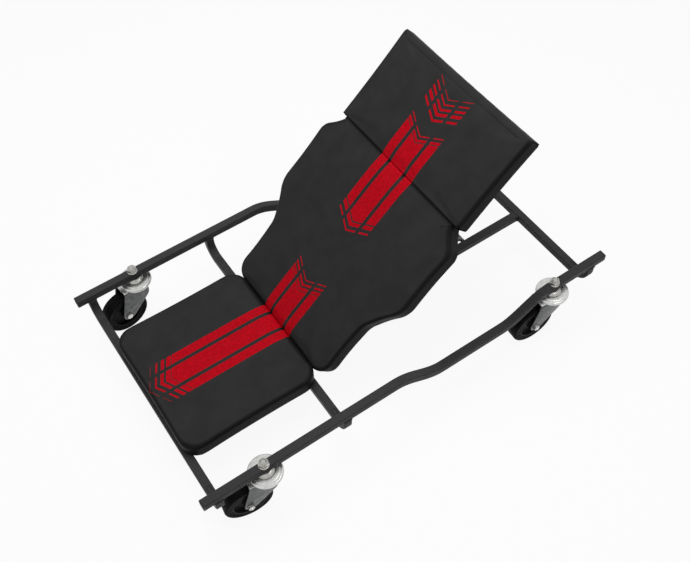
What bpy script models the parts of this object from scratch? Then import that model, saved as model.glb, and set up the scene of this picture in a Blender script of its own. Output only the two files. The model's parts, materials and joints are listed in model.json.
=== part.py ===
"""Mechanic creeper: a square-tube frame on four swivel castors, with a padded seat and a
padded backrest that tilts up on a notched prop.

Metres, +Z up. +X runs from the seat to the head end, and the origin lies on the floor under
the middle of the frame. The backrest is modelled lying flat and raised by its parent empty.
"""

import math

import bmesh
import bpy
from mathutils import Matrix, Vector

# Gaps: FIT where pieces rest on each other, RUN between a pin and what turns on it.
FIT = 0.0003
RUN = 0.0004

# Square steel tube of the whole frame.
TUBE = 0.019
TUBE_WALL = 0.0015
TUBE_CORNER = 0.0022

# Side rails: overall length with the end plugs, and the dip that lowers their middle.
FRAME_LENGTH = 1.028
RAIL_SPACING = 0.5675
DIP_BEFORE_CASTOR = 0.016
DIP_BEND = 0.126
DIP_FLAT = 0.162
DIP_DEPTH = 0.047
PLUG_FLANGE = 0.003
PLUG_SPIGOT = 0.014

# Cross tubes, bent up at both ends to meet the rails from below.
CROSS_DROP = 0.059
CROSS_BEND_RADIUS = 0.035
MIDDLE_CROSS_FROM_FRONT = 0.3315
CASTOR_SWEEP_GAP = 0.0014
SPINE_SPACING = 0.104

# Castors.
FRONT_CASTOR_INSET = 0.140
REAR_CASTOR_INSET = 0.145
WHEEL_DIAMETER = 0.107
WHEEL_WIDTH = 0.030
WHEEL_SHOULDER = 0.005
TYRE_DEPTH = 0.015
RIM_DEPTH = 0.006
HUB_WEB = 0.014
HUB_BOSS_RADIUS = 0.013
TRAIL = 0.049
FRONT_CASTOR_TOE = math.radians(7)
REAR_CASTOR_TOE = math.radians(2.5)
FORK_SHEET = 0.003
FORK_SIDE_GAP = 0.002
WHEEL_HEADROOM = 0.016
AXLE_RADIUS = 0.004
AXLE_SLEEVE = 0.002
AXLE_BOSS_RADIUS = 0.0125
AXLE_HEAD = 0.0053
AXLE_NUT = 0.0065
AXLE_HEX = 0.013
SWIVEL_RADIUS = 0.0345
SWIVEL_HEIGHT = 0.009
SWIVEL_GROOVE = 0.0025
RACE_RADIUS = 0.019
RACE_HEIGHT = 0.0063
STEM_RADIUS = 0.006
STEM_HEAD_RADIUS = 0.010
STEM_HEAD = 0.006
STEM_TIP = 0.0015
NUT_FLANGE_RADIUS = 0.0115
NUT_FLANGE = 0.002
STEM_NUT_HEX = 0.019
STEM_NUT = 0.007
STEM_NUT_COLLAR = 0.002

# Seat and backrest upholstery: a plywood board under a foam pad.
BOARD = 0.009
FOAM = 0.028
BOARD_MARGIN = 0.003
PAD_CROWN = 0.004
PAD_EDGE = 0.015
PAD_DRAW = 0.0015
PAD_GAP = 0.0006
SEAT_WIDTH = 0.340
SEAT_CORNER = 0.038
SEAT_SETBACK = 0.005
BACK_START = 0.012
BACK_LENGTH = 0.429
BACK_WAIST_WIDTH = 0.344
BACK_FRONT_CORNER = 0.034
BACK_WAIST_LENGTH = 0.150
BACK_FLARE_LENGTH = 0.080
BACK_WIDTH = 0.442
BACK_SHOULDER = 0.046
BACK_TOP_WIDTH = 0.360
BACK_BEND = 0.065
HEAD_GAP = 0.002
HEAD_LENGTH = 0.218
HEAD_WIDTH = 0.395
HEAD_CORNER = 0.006

# Backrest hinge and frame.
BACK_ANGLE = math.radians(42)
HINGE_OFFSET = 0.0192
BACK_TUBE_SPACING = 0.200
BACK_TUBE_OVERHANG = 0.008
BACK_TUBE_SETBACK = 0.017
HINGE_PIN_RADIUS = 0.004
HINGE_PIN_HEAD_RADIUS = 0.006
HINGE_PIN_HEAD = 0.0025
HINGE_SHEET = 0.003

# Prop stay: a bent rod that stands on two notched racks.
PROP_FROM_HINGE = 0.250
PROP_LENGTH = 0.330
PROP_ROD_RADIUS = 0.005
PROP_LEG_SPACING = 0.066
PROP_BEND_RADIUS = 0.012
SADDLE_SHEET = 0.002
SADDLE_WIDTH = 0.044
SADDLE_FLANGE = 0.016
RACK_SHEET = 0.0027
NOTCH_PITCH = 0.028
NOTCH_DEPTH = 0.001
RACK_SETBACK = 0.012

# Facets of round pieces.
TYRE_SIDES = 24
ROUND_SIDES = 16
SMALL_SIDES = 10
BEND_STEPS = 5
RAIL_BEND_STEPS = 8
CORNER_STEPS = 4
EDGE_STEPS = 5
CROWN_RINGS = (0.85, 0.6, 0.3)
NOTCH_STEPS = 8
STRAP_STEPS = 8
SHARP_ANGLE = math.radians(35)

# Places worked out from the sizes above.
HALF_TUBE = TUBE / 2
FRONT_X = -FRAME_LENGTH / 2
RAIL_Y = RAIL_SPACING / 2
WHEEL_RADIUS = WHEEL_DIAMETER / 2
TREAD_RADIUS = WHEEL_RADIUS / math.cos(math.pi / TYRE_SIDES)
FORK_PLATE_Z = WHEEL_DIAMETER + WHEEL_HEADROOM
SWIVEL_Z = FORK_PLATE_Z + FORK_SHEET
SWIVEL_TOP_Z = SWIVEL_Z + SWIVEL_HEIGHT
RAIL_BASE_Z = SWIVEL_TOP_Z + RUN + RACE_HEIGHT + FIT
RAIL_TOP_Z = RAIL_BASE_Z + TUBE
CROSS_TOP_Z = RAIL_TOP_Z - CROSS_DROP
CROSS_Z = CROSS_TOP_Z - HALF_TUBE
FORK_INNER_Y = WHEEL_WIDTH / 2 + FORK_SIDE_GAP
FORK_OUTER_Y = FORK_INNER_Y + FORK_SHEET
SLEEVE_RADIUS = (AXLE_RADIUS + RUN) / math.cos(math.pi / SMALL_SIDES) + AXLE_SLEEVE

# The cross tubes stand clear of the circle that a castor's wheel sweeps at their height.
WHEEL_CHORD = math.sqrt(max(TREAD_RADIUS ** 2 - (CROSS_Z - HALF_TUBE - WHEEL_RADIUS) ** 2, 0))
CASTOR_SWEEP = math.hypot(TRAIL + WHEEL_CHORD, WHEEL_WIDTH / 2)
CROSS_FROM_CASTOR = CASTOR_SWEEP + CASTOR_SWEEP_GAP + HALF_TUBE
CASTOR_X = {"front": FRONT_X + FRONT_CASTOR_INSET, "rear": -FRONT_X - REAR_CASTOR_INSET}
CASTOR_TOE = {"front": FRONT_CASTOR_TOE, "rear": REAR_CASTOR_TOE}
FRONT_CROSS_X = CASTOR_X["front"] - CROSS_FROM_CASTOR
MIDDLE_CROSS_X = FRONT_X + MIDDLE_CROSS_FROM_FRONT
REAR_CROSS_X = CASTOR_X["rear"] + CROSS_FROM_CASTOR

# The rails dip behind the middle cross tube and are level again before the rear castors.
DIP_RISE_X = CASTOR_X["rear"] - DIP_BEFORE_CASTOR - DIP_BEND
DIP_X = DIP_RISE_X - DIP_FLAT - DIP_BEND

# The backrest turns about an axis behind the middle cross tube, at its mid height.
HINGE_X = MIDDLE_CROSS_X + HALF_TUBE + HINGE_OFFSET
HINGE_Z = CROSS_Z
BOARD_BASE = HALF_TUBE + FIT
PAD_BASE = BOARD_BASE + BOARD + FIT
BACK_TUBE_END = REAR_CROSS_X - HALF_TUBE - HINGE_X - BACK_TUBE_SETBACK
HEAD_START = BACK_START + BACK_LENGTH + HEAD_GAP

# The rolled edges of the seat and the raised backrest all but touch.
SEAT_BASE_Z = CROSS_TOP_Z + FIT
SEAT_ROLL_Z = SEAT_BASE_Z + BOARD + FIT + FOAM - PAD_EDGE
BACK_ROLL = Vector((BACK_START + PAD_EDGE, PAD_BASE + FOAM - PAD_EDGE))
BACK_ROLL.rotate(Matrix.Rotation(BACK_ANGLE, 2))
ROLL_RISE = HINGE_Z + BACK_ROLL.y - SEAT_ROLL_Z
ROLL_SPAN = math.sqrt((2 * PAD_EDGE + PAD_GAP) ** 2 - ROLL_RISE ** 2)
SEAT_REAR_X = HINGE_X + BACK_ROLL.x - ROLL_SPAN + PAD_EDGE

# The prop lies level under the board when the backrest is flat. Raised, it stands in the first
# notch of the racks, which have as many notches as fit in front of the rear cross tube.
PROP_PIVOT_RISE = BOARD_BASE - PROP_ROD_RADIUS - 2 * RUN
PROP_PIVOT = Vector((PROP_FROM_HINGE, PROP_PIVOT_RISE))
PROP_PIVOT.rotate(Matrix.Rotation(BACK_ANGLE, 2))
PROP_SLOPE = math.asin((PROP_PIVOT.y - PROP_PIVOT_RISE) / PROP_LENGTH)
PROP_FOLD = BACK_ANGLE + PROP_SLOPE
PROP_FOOT_X = HINGE_X + PROP_PIVOT.x + PROP_LENGTH * math.cos(PROP_SLOPE)
PROP_FOOT_Z = HINGE_Z + PROP_PIVOT_RISE
RACK_X = PROP_FOOT_X - NOTCH_PITCH / 2
RACK_ROOM = REAR_CROSS_X - HALF_TUBE - RACK_SETBACK - RACK_X
NOTCH_COUNT = math.floor(RACK_ROOM / NOTCH_PITCH)
RACK_INNER_Y = SPINE_SPACING / 2 - HALF_TUBE - FIT - RACK_SHEET
FOOT_BAR_LENGTH = SPINE_SPACING - TUBE - 4 * FIT

SIDES = {"left": 1, "right": -1}


def finish(name, rgb, roughness, metallic=0.0):
    """A plain Principled material."""
    material = bpy.data.materials.new(name)
    material.use_nodes = True
    shader = material.node_tree.nodes["Principled BSDF"]
    shader.inputs["Base Color"].default_value = (*rgb, 1.0)
    shader.inputs["Roughness"].default_value = roughness
    shader.inputs["Metallic"].default_value = metallic
    return material


def mesh_of(bm):
    """Turn a bmesh into a mesh with outward faces."""
    bmesh.ops.recalc_face_normals(bm, faces=bm.faces)
    mesh = bpy.data.meshes.new("shape")
    bm.to_mesh(mesh)
    bm.free()
    return mesh


def joined(meshes):
    """Several separate shapes in one mesh."""
    bm = bmesh.new()
    for mesh in meshes:
        bm.from_mesh(mesh)
    return mesh_of(bm)


def moved(mesh, offset=(0, 0, 0), turn=None):
    """A copy of a mesh, turned and then shifted."""
    copy = mesh.copy()
    copy.transform(Matrix.Translation(offset) @ (turn or Matrix()))
    return copy


def turned_about(axis, degrees):
    return Matrix.Rotation(math.radians(degrees), 4, axis)


ALONG_Y = turned_about("X", -90)
ON_EDGE = turned_about("X", 90)
ON_FACET = ALONG_Y @ turned_about("Z", 180 / TYRE_SIDES)


def carved(mesh, *steps):
    """Apply Boolean steps, each an operation and a tool mesh, and return a plain mesh."""
    blank = bpy.data.objects.new("blank", mesh)
    helpers = [blank]
    bpy.context.collection.objects.link(blank)
    for operation, tool_mesh in steps:
        tool = bpy.data.objects.new("tool", tool_mesh)
        bpy.context.collection.objects.link(tool)
        helpers.append(tool)
        modifier = blank.modifiers.new(operation, "BOOLEAN")
        modifier.operation = operation
        modifier.object = tool
    bpy.context.view_layer.update()
    depsgraph = bpy.context.evaluated_depsgraph_get()
    result = bpy.data.meshes.new_from_object(blank.evaluated_get(depsgraph))
    for helper in helpers:
        bpy.data.objects.remove(helper)
    return result


def prism(outline, low, high):
    """An outline in X and Y, extruded along Z from low to high."""
    bm = bmesh.new()
    face = bm.faces.new([bm.verts.new((x, y, low)) for x, y in outline])
    grown = bmesh.ops.extrude_face_region(bm, geom=[face])
    top = [v for v in grown["geom"] if isinstance(v, bmesh.types.BMVert)]
    bmesh.ops.translate(bm, verts=top, vec=(0, 0, high - low))
    return mesh_of(bm)


def turned(profile, sides):
    """A solid of revolution about Z from (radius, height) points that start and end on the axis."""
    bm = bmesh.new()
    points = [bm.verts.new((radius, 0, height)) for radius, height in profile]
    edges = [bm.edges.new(pair) for pair in zip(points, points[1:])]
    bmesh.ops.spin(
        bm, geom=points + edges, axis=(0, 0, 1), cent=(0, 0, 0), angle=2 * math.pi, steps=sides
    )
    bmesh.ops.remove_doubles(bm, verts=bm.verts, dist=1e-6)
    return mesh_of(bm)


def rod(radius, low, high, sides=SMALL_SIDES):
    """A round bar along Z."""
    return turned([(0, low), (radius, low), (radius, high), (0, high)], sides)


def bore(radius, low, high):
    """A cutter along Z whose facets all stand a running gap clear of a shaft of this radius."""
    return rod((radius + RUN) / math.cos(math.pi / SMALL_SIDES), low, high)


def hexagon(across_flats):
    radius = across_flats / math.sqrt(3)
    return [
        (radius * math.cos(k * math.pi / 3), radius * math.sin(k * math.pi / 3)) for k in range(6)
    ]


def rounded(corners, edge_steps=1, draw=0.0):
    """A closed outline of (x, y, radius) corners with arcs, and straight sides that draw in."""
    arcs = []
    for before, corner, after in zip(corners[-1:] + corners, corners, corners[1:] + corners[:1]):
        point = Vector(corner[:2])
        back = (Vector(before[:2]) - point).normalized()
        ahead = (Vector(after[:2]) - point).normalized()
        half = back.angle(ahead) / 2
        reach = corner[2] / math.tan(half)
        centre = point + (back + ahead).normalized() * (corner[2] / math.sin(half))
        start = point + back * reach - centre
        swing = start.angle_signed(point + ahead * reach - centre)
        arcs.append([
            centre + Matrix.Rotation(-swing * k / CORNER_STEPS, 2) @ start
            for k in range(CORNER_STEPS + 1)
        ])
    outline = []
    for arc, following in zip(arcs, arcs[1:] + arcs[:1]):
        outline += arc
        side = following[0] - arc[-1]
        inward = Vector((-side.y, side.x)).normalized()
        for k in range(1, edge_steps):
            share = k / edge_steps
            outline.append(arc[-1] + side * share + inward * draw * math.sin(math.pi * share))
    return [tuple(point) for point in outline]


def bent_path(corners, radius):
    """A planar path through corners, each rounded to the same bend radius."""
    path = [corners[0]]
    for before, corner, after in zip(corners, corners[1:], corners[2:]):
        back = (before - corner).normalized()
        ahead = (after - corner).normalized()
        half = back.angle(ahead) / 2
        centre = corner + (back + ahead).normalized() * (radius / math.sin(half))
        start = corner + back * radius / math.tan(half) - centre
        swing = math.pi - 2 * half
        spin_axis = back.cross(start)
        for k in range(BEND_STEPS + 1):
            path.append(centre + Matrix.Rotation(swing * k / BEND_STEPS, 3, spin_axis) @ start)
    path.append(corners[-1])
    return path


def section_rings(bm, path, across, section):
    """Rings of a section along a planar path, mitred at each point; across is the plane's normal."""
    rings = []
    for k, point in enumerate(path):
        steps = []
        if k > 0:
            steps.append((point - path[k - 1]).normalized())
        if k + 1 < len(path):
            steps.append((path[k + 1] - point).normalized())
        along = sum(steps, Vector()).normalized()
        up = across.cross(along) / along.dot(steps[0])
        rings.append([bm.verts.new(point + across * a + up * b) for a, b in section])
    return rings


def skin(bm, rings):
    for ring, following in zip(rings, rings[1:]):
        for k in range(len(ring)):
            j = (k + 1) % len(ring)
            bm.faces.new((ring[k], ring[j], following[j], following[k]))


def square_section(side, corner):
    half = side / 2
    flat = half - corner
    quarter = [(half, -flat), (half, flat)]
    points = []
    for turn in range(4):
        spin = Matrix.Rotation(turn * math.pi / 2, 2)
        points += [tuple(spin @ Vector(point)) for point in quarter]
    return points


def tube(path, across):
    """Hollow square tube along a planar path, open at both ends."""
    bm = bmesh.new()
    outer = section_rings(bm, path, across, square_section(TUBE, TUBE_CORNER))
    hollow = TUBE - 2 * TUBE_WALL
    inner = section_rings(bm, path, across, square_section(hollow, TUBE_CORNER - TUBE_WALL))
    skin(bm, outer)
    skin(bm, inner)
    for end in (0, -1):
        skin(bm, [outer[end], inner[end]])
    return mesh_of(bm)


def bent_rod(path, across, radius):
    """Solid round bar along a planar path."""
    bm = bmesh.new()
    turns = [2 * math.pi * k / SMALL_SIDES for k in range(SMALL_SIDES)]
    section = [(radius * math.cos(turn), radius * math.sin(turn)) for turn in turns]
    rings = section_rings(bm, path, across, section)
    skin(bm, rings)
    bm.faces.new(rings[0])
    bm.faces.new(rings[-1])
    return mesh_of(bm)


def inset_outline(outline, amount):
    """Each point of an anticlockwise outline moved in along its own normal."""
    points = [Vector(point) for point in outline]
    result = []
    for before, point, after in zip(points[-1:] + points, points, points[1:] + points[:1]):
        along = (after - before).normalized()
        result.append(point + Vector((-along.y, along.x)) * amount)
    return result


def cushion(outline):
    """A foam pad: sides that swell at mid height, a rolled top edge and a crowned top."""
    bm = bmesh.new()
    centre = sum((Vector(point) for point in outline), Vector((0, 0))) / len(outline)
    roll = FOAM - PAD_EDGE
    wall = [(BOARD_MARGIN, 0), (PAD_DRAW / 3, roll * 0.3), (0, roll * 0.7), (PAD_DRAW / 3, roll)]
    for k in range(1, CORNER_STEPS + 1):
        turn = math.pi / 2 * k / CORNER_STEPS
        wall.append((PAD_EDGE * (1 - math.cos(turn)), roll + PAD_EDGE * math.sin(turn)))
    rings = []
    for amount, height in wall:
        ring = inset_outline(outline, amount)
        rings.append([bm.verts.new((*point, height)) for point in ring])
    edge = [Vector(vert.co) for vert in rings[-1]]
    for share in CROWN_RINGS:
        height = FOAM + PAD_CROWN * (1 - share ** 2)
        middle = Vector((*centre, height))
        flat = [Vector((point.x, point.y, height)) for point in edge]
        rings.append([bm.verts.new(middle.lerp(point, share)) for point in flat])
    skin(bm, rings)
    bm.faces.new(rings[0])
    peak = bm.verts.new((*centre, FOAM + PAD_CROWN))
    for k, vert in enumerate(rings[-1]):
        bm.faces.new((vert, rings[-1][(k + 1) % len(rings[-1])], peak))
    return mesh_of(bm)


def empty(name, location, parent=None, tilt=0.0, heading=0.0):
    """A joint's frame: an empty on the axis, tilted about Y or headed about Z."""
    frame = bpy.data.objects.new(name, None)
    frame.location = location
    frame.rotation_euler = (0, tilt, heading)
    frame.parent = parent
    bpy.context.collection.objects.link(frame)
    return frame


def node(name, mesh, material, parent=None, location=(0, 0, 0)):
    """One named piece of the creeper."""
    piece = bpy.data.objects.new(name, mesh)
    mesh.materials.clear()
    mesh.materials.append(material)
    mesh.shade_smooth()
    mesh.set_sharp_from_angle(angle=SHARP_ANGLE)
    piece.parent = parent
    piece.location = location
    bpy.context.collection.objects.link(piece)
    return piece


def side_rail(side):
    """A rail with a dipped middle, pierced where the castor stems pass through."""
    y = side * RAIL_Y
    top = RAIL_TOP_Z - HALF_TUBE
    ends = -FRONT_X - PLUG_FLANGE - FIT
    path = [Vector((-ends, y, top))]
    for from_x, sign in ((DIP_X, -1), (DIP_RISE_X, 1)):
        for k in range(RAIL_BEND_STEPS + 1):
            share = k / RAIL_BEND_STEPS
            ease = (1 - math.cos(math.pi * share)) / 2
            drop = DIP_DEPTH * (ease if sign < 0 else 1 - ease)
            path.append(Vector((from_x + DIP_BEND * share, y, top - drop)))
    path.append(Vector((ends, y, top)))
    hole = bore(STEM_RADIUS, RAIL_BASE_Z - TUBE, RAIL_TOP_Z + TUBE)
    holes = joined([moved(hole, (x, y, 0)) for x in CASTOR_X.values()])
    return carved(tube(path, Vector((0, 1, 0))), ("DIFFERENCE", holes))


def cross_tube(x):
    """A tube bent to a wide U that hangs under both rails."""
    foot = RAIL_BASE_Z - FIT
    corners = [
        Vector((x, RAIL_Y, foot)), Vector((x, RAIL_Y, CROSS_Z)),
        Vector((x, -RAIL_Y, CROSS_Z)), Vector((x, -RAIL_Y, foot)),
    ]
    return tube(bent_path(corners, CROSS_BEND_RADIUS), Vector((1, 0, 0)))


def end_plug():
    """A plastic plug whose flange faces -X and whose spigot enters the tube."""
    flange = rounded([(h, v, TUBE_CORNER) for h, v in square_corners(TUBE / 2)])
    spigot = rounded([(h, v, TUBE_CORNER / 4) for h, v in square_corners(TUBE / 2 - TUBE_WALL - FIT)])
    body = prism(spigot, -PLUG_FLANGE / 2, PLUG_SPIGOT)
    shape = carved(prism(flange, -PLUG_FLANGE, 0), ("UNION", body))
    shape.transform(turned_about("Y", 90))
    return shape


def square_corners(half):
    return [(-half, -half), (half, -half), (half, half), (-half, half)]


def spine_rail(side):
    """A straight tube that ties the middle cross tube to the rear one under the backrest."""
    y = side * SPINE_SPACING / 2
    ends = (MIDDLE_CROSS_X + HALF_TUBE + FIT, REAR_CROSS_X - HALF_TUBE - FIT)
    return tube([Vector((x, y, CROSS_Z)) for x in ends], Vector((0, 1, 0)))


def notch_rack(side):
    """A strip on a spine rail's inner wall with shallow notches for the prop's foot bar."""
    low = CROSS_Z - HALF_TUBE
    crest = PROP_FOOT_Z - PROP_ROD_RADIUS - FIT + NOTCH_DEPTH
    outline = [(RACK_X, low), (RACK_X + NOTCH_PITCH * NOTCH_COUNT, low)]
    for k in range(NOTCH_COUNT * NOTCH_STEPS, -1, -1):
        share = k / NOTCH_STEPS
        dip = NOTCH_DEPTH * (1 - math.cos(2 * math.pi * share)) / 2
        outline.append((RACK_X + NOTCH_PITCH * share, crest - dip))
    strip = prism(outline, 0, RACK_SHEET)
    outer = RACK_INNER_Y + RACK_SHEET
    return moved(strip, (0, outer if side > 0 else -RACK_INNER_Y, 0), ON_EDGE)


def hinge_bracket():
    """A folded clevis, in the hinge's frame, whose base lies on the middle cross tube."""
    inner = HALF_TUBE + FIT
    outer = inner + HINGE_SHEET
    base = FIT - HINGE_OFFSET
    reach = HALF_TUBE - FIT
    plan = [
        (base, -outer), (reach, -outer), (reach, -inner), (base + HINGE_SHEET, -inner),
        (base + HINGE_SHEET, inner), (reach, inner), (reach, outer), (base, outer),
    ]
    lug = rounded([
        (base, -reach, FIT), (reach, -reach, reach * 0.98), (reach, reach, reach * 0.98),
        (base, reach, FIT),
    ])
    profile = moved(prism(lug, -2 * outer, 2 * outer), turn=ON_EDGE)
    pin_hole = moved(bore(HINGE_PIN_RADIUS, -2 * outer, 2 * outer), turn=ALONG_Y)
    return carved(prism(plan, -reach, reach), ("INTERSECT", profile), ("DIFFERENCE", pin_hole))


def hinge_pin():
    """A headed rivet through both lugs, along Y."""
    seat = HALF_TUBE + HINGE_SHEET + 2 * FIT
    end = seat + HINGE_PIN_HEAD
    head = HINGE_PIN_HEAD_RADIUS
    profile = [
        (0, -end), (head * 0.7, -end), (head, -seat), (HINGE_PIN_RADIUS, -seat),
        (HINGE_PIN_RADIUS, seat), (head, seat), (head * 0.7, end), (0, end),
    ]
    return moved(turned(profile, SMALL_SIDES), turn=ALONG_Y)


def seat_outline(margin):
    front = FRONT_CROSS_X - HALF_TUBE + SEAT_SETBACK + margin
    rear = SEAT_REAR_X - margin
    half = SEAT_WIDTH / 2 - margin
    corners = [(front, -half), (rear, -half), (rear, half), (front, half)]
    return [(x, y, SEAT_CORNER - margin) for x, y in corners]


def back_outline(margin):
    """The waisted backrest: narrow at the hinge, flared at the shoulders, drawn in to the head."""
    flare = BACK_START + BACK_WAIST_LENGTH
    end = BACK_START + BACK_LENGTH
    half = [
        (BACK_START + margin, BACK_WAIST_WIDTH / 2 - margin, BACK_FRONT_CORNER),
        (flare, BACK_WAIST_WIDTH / 2 - margin, BACK_BEND),
        (flare + BACK_FLARE_LENGTH, BACK_WIDTH / 2 - margin, BACK_BEND),
        (end - BACK_SHOULDER, BACK_WIDTH / 2 - margin, BACK_BEND / 2),
        (end - margin, BACK_TOP_WIDTH / 2 - margin, HEAD_CORNER),
    ]
    return [(x, -y, radius) for x, y, radius in half] + half[::-1]


def head_outline(margin):
    start = HEAD_START + margin
    end = HEAD_START + HEAD_LENGTH - margin
    half = HEAD_WIDTH / 2 - margin
    corners = [(start, -half), (end, -half), (end, half), (start, half)]
    return [(x, y, HEAD_CORNER) for x, y in corners]


def back_tube(side):
    """A backrest tube in the hinge's frame, with its hinge bore."""
    y = side * BACK_TUBE_SPACING / 2
    path = [Vector((-BACK_TUBE_OVERHANG, y, 0)), Vector((BACK_TUBE_END, y, 0))]
    pin_hole = moved(bore(HINGE_PIN_RADIUS, -TUBE, TUBE), (0, y, 0), ALONG_Y)
    return carved(tube(path, Vector((0, 1, 0))), ("DIFFERENCE", pin_hole))


def prop_saddle():
    """A strap under the prop's top bar, in the prop pivot's frame, flanged against the board."""
    inner = PROP_ROD_RADIUS + RUN
    outer = inner + SADDLE_SHEET
    top = BOARD_BASE - FIT - PROP_PIVOT_RISE
    edge = outer + SADDLE_FLANGE
    steps = [math.pi * k / STRAP_STEPS for k in range(STRAP_STEPS + 1)]
    around_rod = [(inner * math.cos(turn), -inner * math.sin(turn)) for turn in steps]
    around_strap = [(-outer * math.cos(turn), -outer * math.sin(turn)) for turn in steps]
    under = top - SADDLE_SHEET
    outline = [(edge, under), (edge, top), (inner, top), *around_rod, (-inner, top)]
    outline += [(-edge, top), (-edge, under), (-outer, under), *around_strap, (outer, under)]
    return moved(prism(outline, -SADDLE_WIDTH / 2, SADDLE_WIDTH / 2), turn=ON_EDGE)


def prop_stay():
    """The prop in its pivot's frame: a U of rod along +X, with a foot bar across its ends."""
    half = PROP_LEG_SPACING / 2
    corners = [
        Vector((PROP_LENGTH, half, 0)), Vector((0, half, 0)),
        Vector((0, -half, 0)), Vector((PROP_LENGTH, -half, 0)),
    ]
    bail = bent_rod(bent_path(corners, PROP_BEND_RADIUS), Vector((0, 0, 1)), PROP_ROD_RADIUS)
    reach = FOOT_BAR_LENGTH / 2
    bar = moved(rod(PROP_ROD_RADIUS, -reach, reach), (PROP_LENGTH, 0, 0), ALONG_Y)
    return carved(bail, ("UNION", bar))


def fork():
    """A stamped castor fork in its swivel's frame: folded cheeks under a domed swivel head."""
    fold = 2 * FORK_SHEET
    drop = FORK_PLATE_Z + FORK_SHEET
    shell = [(FORK_OUTER_Y, 0, FIT), (FORK_OUTER_Y, drop, fold), (-FORK_OUTER_Y, drop, fold),
             (-FORK_OUTER_Y, 0, FIT)]
    cavity = [(FORK_INNER_Y, -fold, FIT), (FORK_INNER_Y, FORK_PLATE_Z, FORK_SHEET),
              (-FORK_INNER_Y, FORK_PLATE_Z, FORK_SHEET), (-FORK_INNER_Y, -fold, FIT)]
    across_x = turned_about("Z", 90) @ ON_EDGE
    length = TRAIL + WHEEL_RADIUS
    channel = moved(prism(rounded(shell), -length, length), turn=across_x)
    hollow = moved(prism(rounded(cavity), -2 * length, 2 * length), turn=across_x)

    boss = AXLE_BOSS_RADIUS
    tab = -TRAIL + boss / 2
    heel = SWIVEL_RADIUS - FORK_SHEET
    cheek = rounded([
        (tab, drop + fold, FIT), (heel, drop + fold, FIT), (heel, WHEEL_DIAMETER - boss, 2 * boss),
        (boss - TRAIL, WHEEL_RADIUS - boss, boss), (-boss - TRAIL, WHEEL_RADIUS - boss, boss * 0.9),
        (-boss - TRAIL, WHEEL_RADIUS + boss / 3, boss / 2), (tab, FORK_PLATE_Z, FIT),
    ])
    profile = moved(prism(cheek[::-1], -TUBE * 2, TUBE * 2), turn=ON_EDGE)

    low = SWIVEL_Z
    top = SWIVEL_TOP_Z
    groove = RACE_RADIUS + FORK_SHEET / 2
    head = turned([
        (0, low - FORK_SHEET / 2), (SWIVEL_RADIUS - fold, low - FORK_SHEET / 2),
        (SWIVEL_RADIUS - FORK_SHEET / 2, low), (SWIVEL_RADIUS, low + SWIVEL_HEIGHT * 0.25),
        (SWIVEL_RADIUS, low + SWIVEL_HEIGHT * 0.6), (SWIVEL_RADIUS - FORK_SHEET, top),
        (groove + fold, top), (groove + FORK_SHEET, top - SWIVEL_GROOVE), (groove, top - SWIVEL_GROOVE),
        (RACE_RADIUS, top), (0, top),
    ], ROUND_SIDES)
    stem_hole = bore(STEM_RADIUS, 0, RAIL_TOP_Z)
    axle_hole = moved(bore(AXLE_RADIUS, -2 * TUBE, 2 * TUBE), (-TRAIL, 0, WHEEL_RADIUS), ALONG_Y)
    return carved(
        channel, ("DIFFERENCE", hollow), ("INTERSECT", profile), ("UNION", head),
        ("DIFFERENCE", stem_hole), ("DIFFERENCE", axle_hole),
    )


def tyre():
    """A solid rubber tread along Y, with round shoulders, open in the middle."""
    half = WHEEL_WIDTH / 2
    tread = TREAD_RADIUS
    lip = WHEEL_SHOULDER
    profile = [
        (0, -half), (tread - lip, -half), (tread - lip * 0.3, -half + lip * 0.3),
        (tread, -half + lip), (tread, half - lip),
        (tread - lip * 0.3, half - lip * 0.3), (tread - lip, half), (0, half),
    ]
    seat = rod(WHEEL_RADIUS - TYRE_DEPTH, -WHEEL_WIDTH, WHEEL_WIDTH, TYRE_SIDES)
    return moved(carved(turned(profile, TYRE_SIDES), ("DIFFERENCE", seat)), turn=ON_FACET)


def wheel_hub():
    """The wheel's moulded centre along Y: a rim, a thin web and a boss with the axle bore."""
    rim = WHEEL_RADIUS - TYRE_DEPTH - FIT
    face = WHEEL_WIDTH / 2 - FIT
    web = HUB_WEB / 2
    boss_end = WHEEL_WIDTH / 2 + FORK_SIDE_GAP / 2
    half = [
        (HUB_BOSS_RADIUS * 0.85, boss_end), (HUB_BOSS_RADIUS, web), (rim - RIM_DEPTH, web),
        (rim - RIM_DEPTH * 0.7, face), (rim, face),
    ]
    below = [(radius, -height) for radius, height in half]
    profile = [(0, -boss_end), *below, *half[::-1], (0, boss_end)]
    sleeve_hole = bore(SLEEVE_RADIUS, -WHEEL_WIDTH, WHEEL_WIDTH)
    return moved(carved(turned(profile, TYRE_SIDES), ("DIFFERENCE", sleeve_hole)), turn=ON_FACET)


def axle_sleeve():
    """The steel sleeve along Y that the bolt clamps between the cheeks; the hub turns on it."""
    end = FORK_INNER_Y - FIT
    blank = rod(SLEEVE_RADIUS, -end, end)
    return moved(carved(blank, ("DIFFERENCE", bore(AXLE_RADIUS, -2 * end, 2 * end))), turn=ALONG_Y)


def axle_bolt():
    """A hex-head bolt whose head is at -Y and whose tip stands out of the nut at +Y."""
    seat = FORK_OUTER_Y + FIT
    head = prism(hexagon(AXLE_HEX), -seat - AXLE_HEAD, -seat)
    shank = rod(AXLE_RADIUS, -seat - AXLE_HEAD / 2, seat + AXLE_NUT + AXLE_RADIUS / 2)
    return moved(carved(head, ("UNION", shank)), turn=ALONG_Y)


def axle_nut():
    seat = FORK_OUTER_Y + FIT
    blank = prism(hexagon(AXLE_HEX), seat, seat + AXLE_NUT)
    thread = bore(AXLE_RADIUS, 0, seat + 2 * AXLE_NUT)
    return moved(carved(blank, ("DIFFERENCE", thread)), turn=ALONG_Y)


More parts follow.
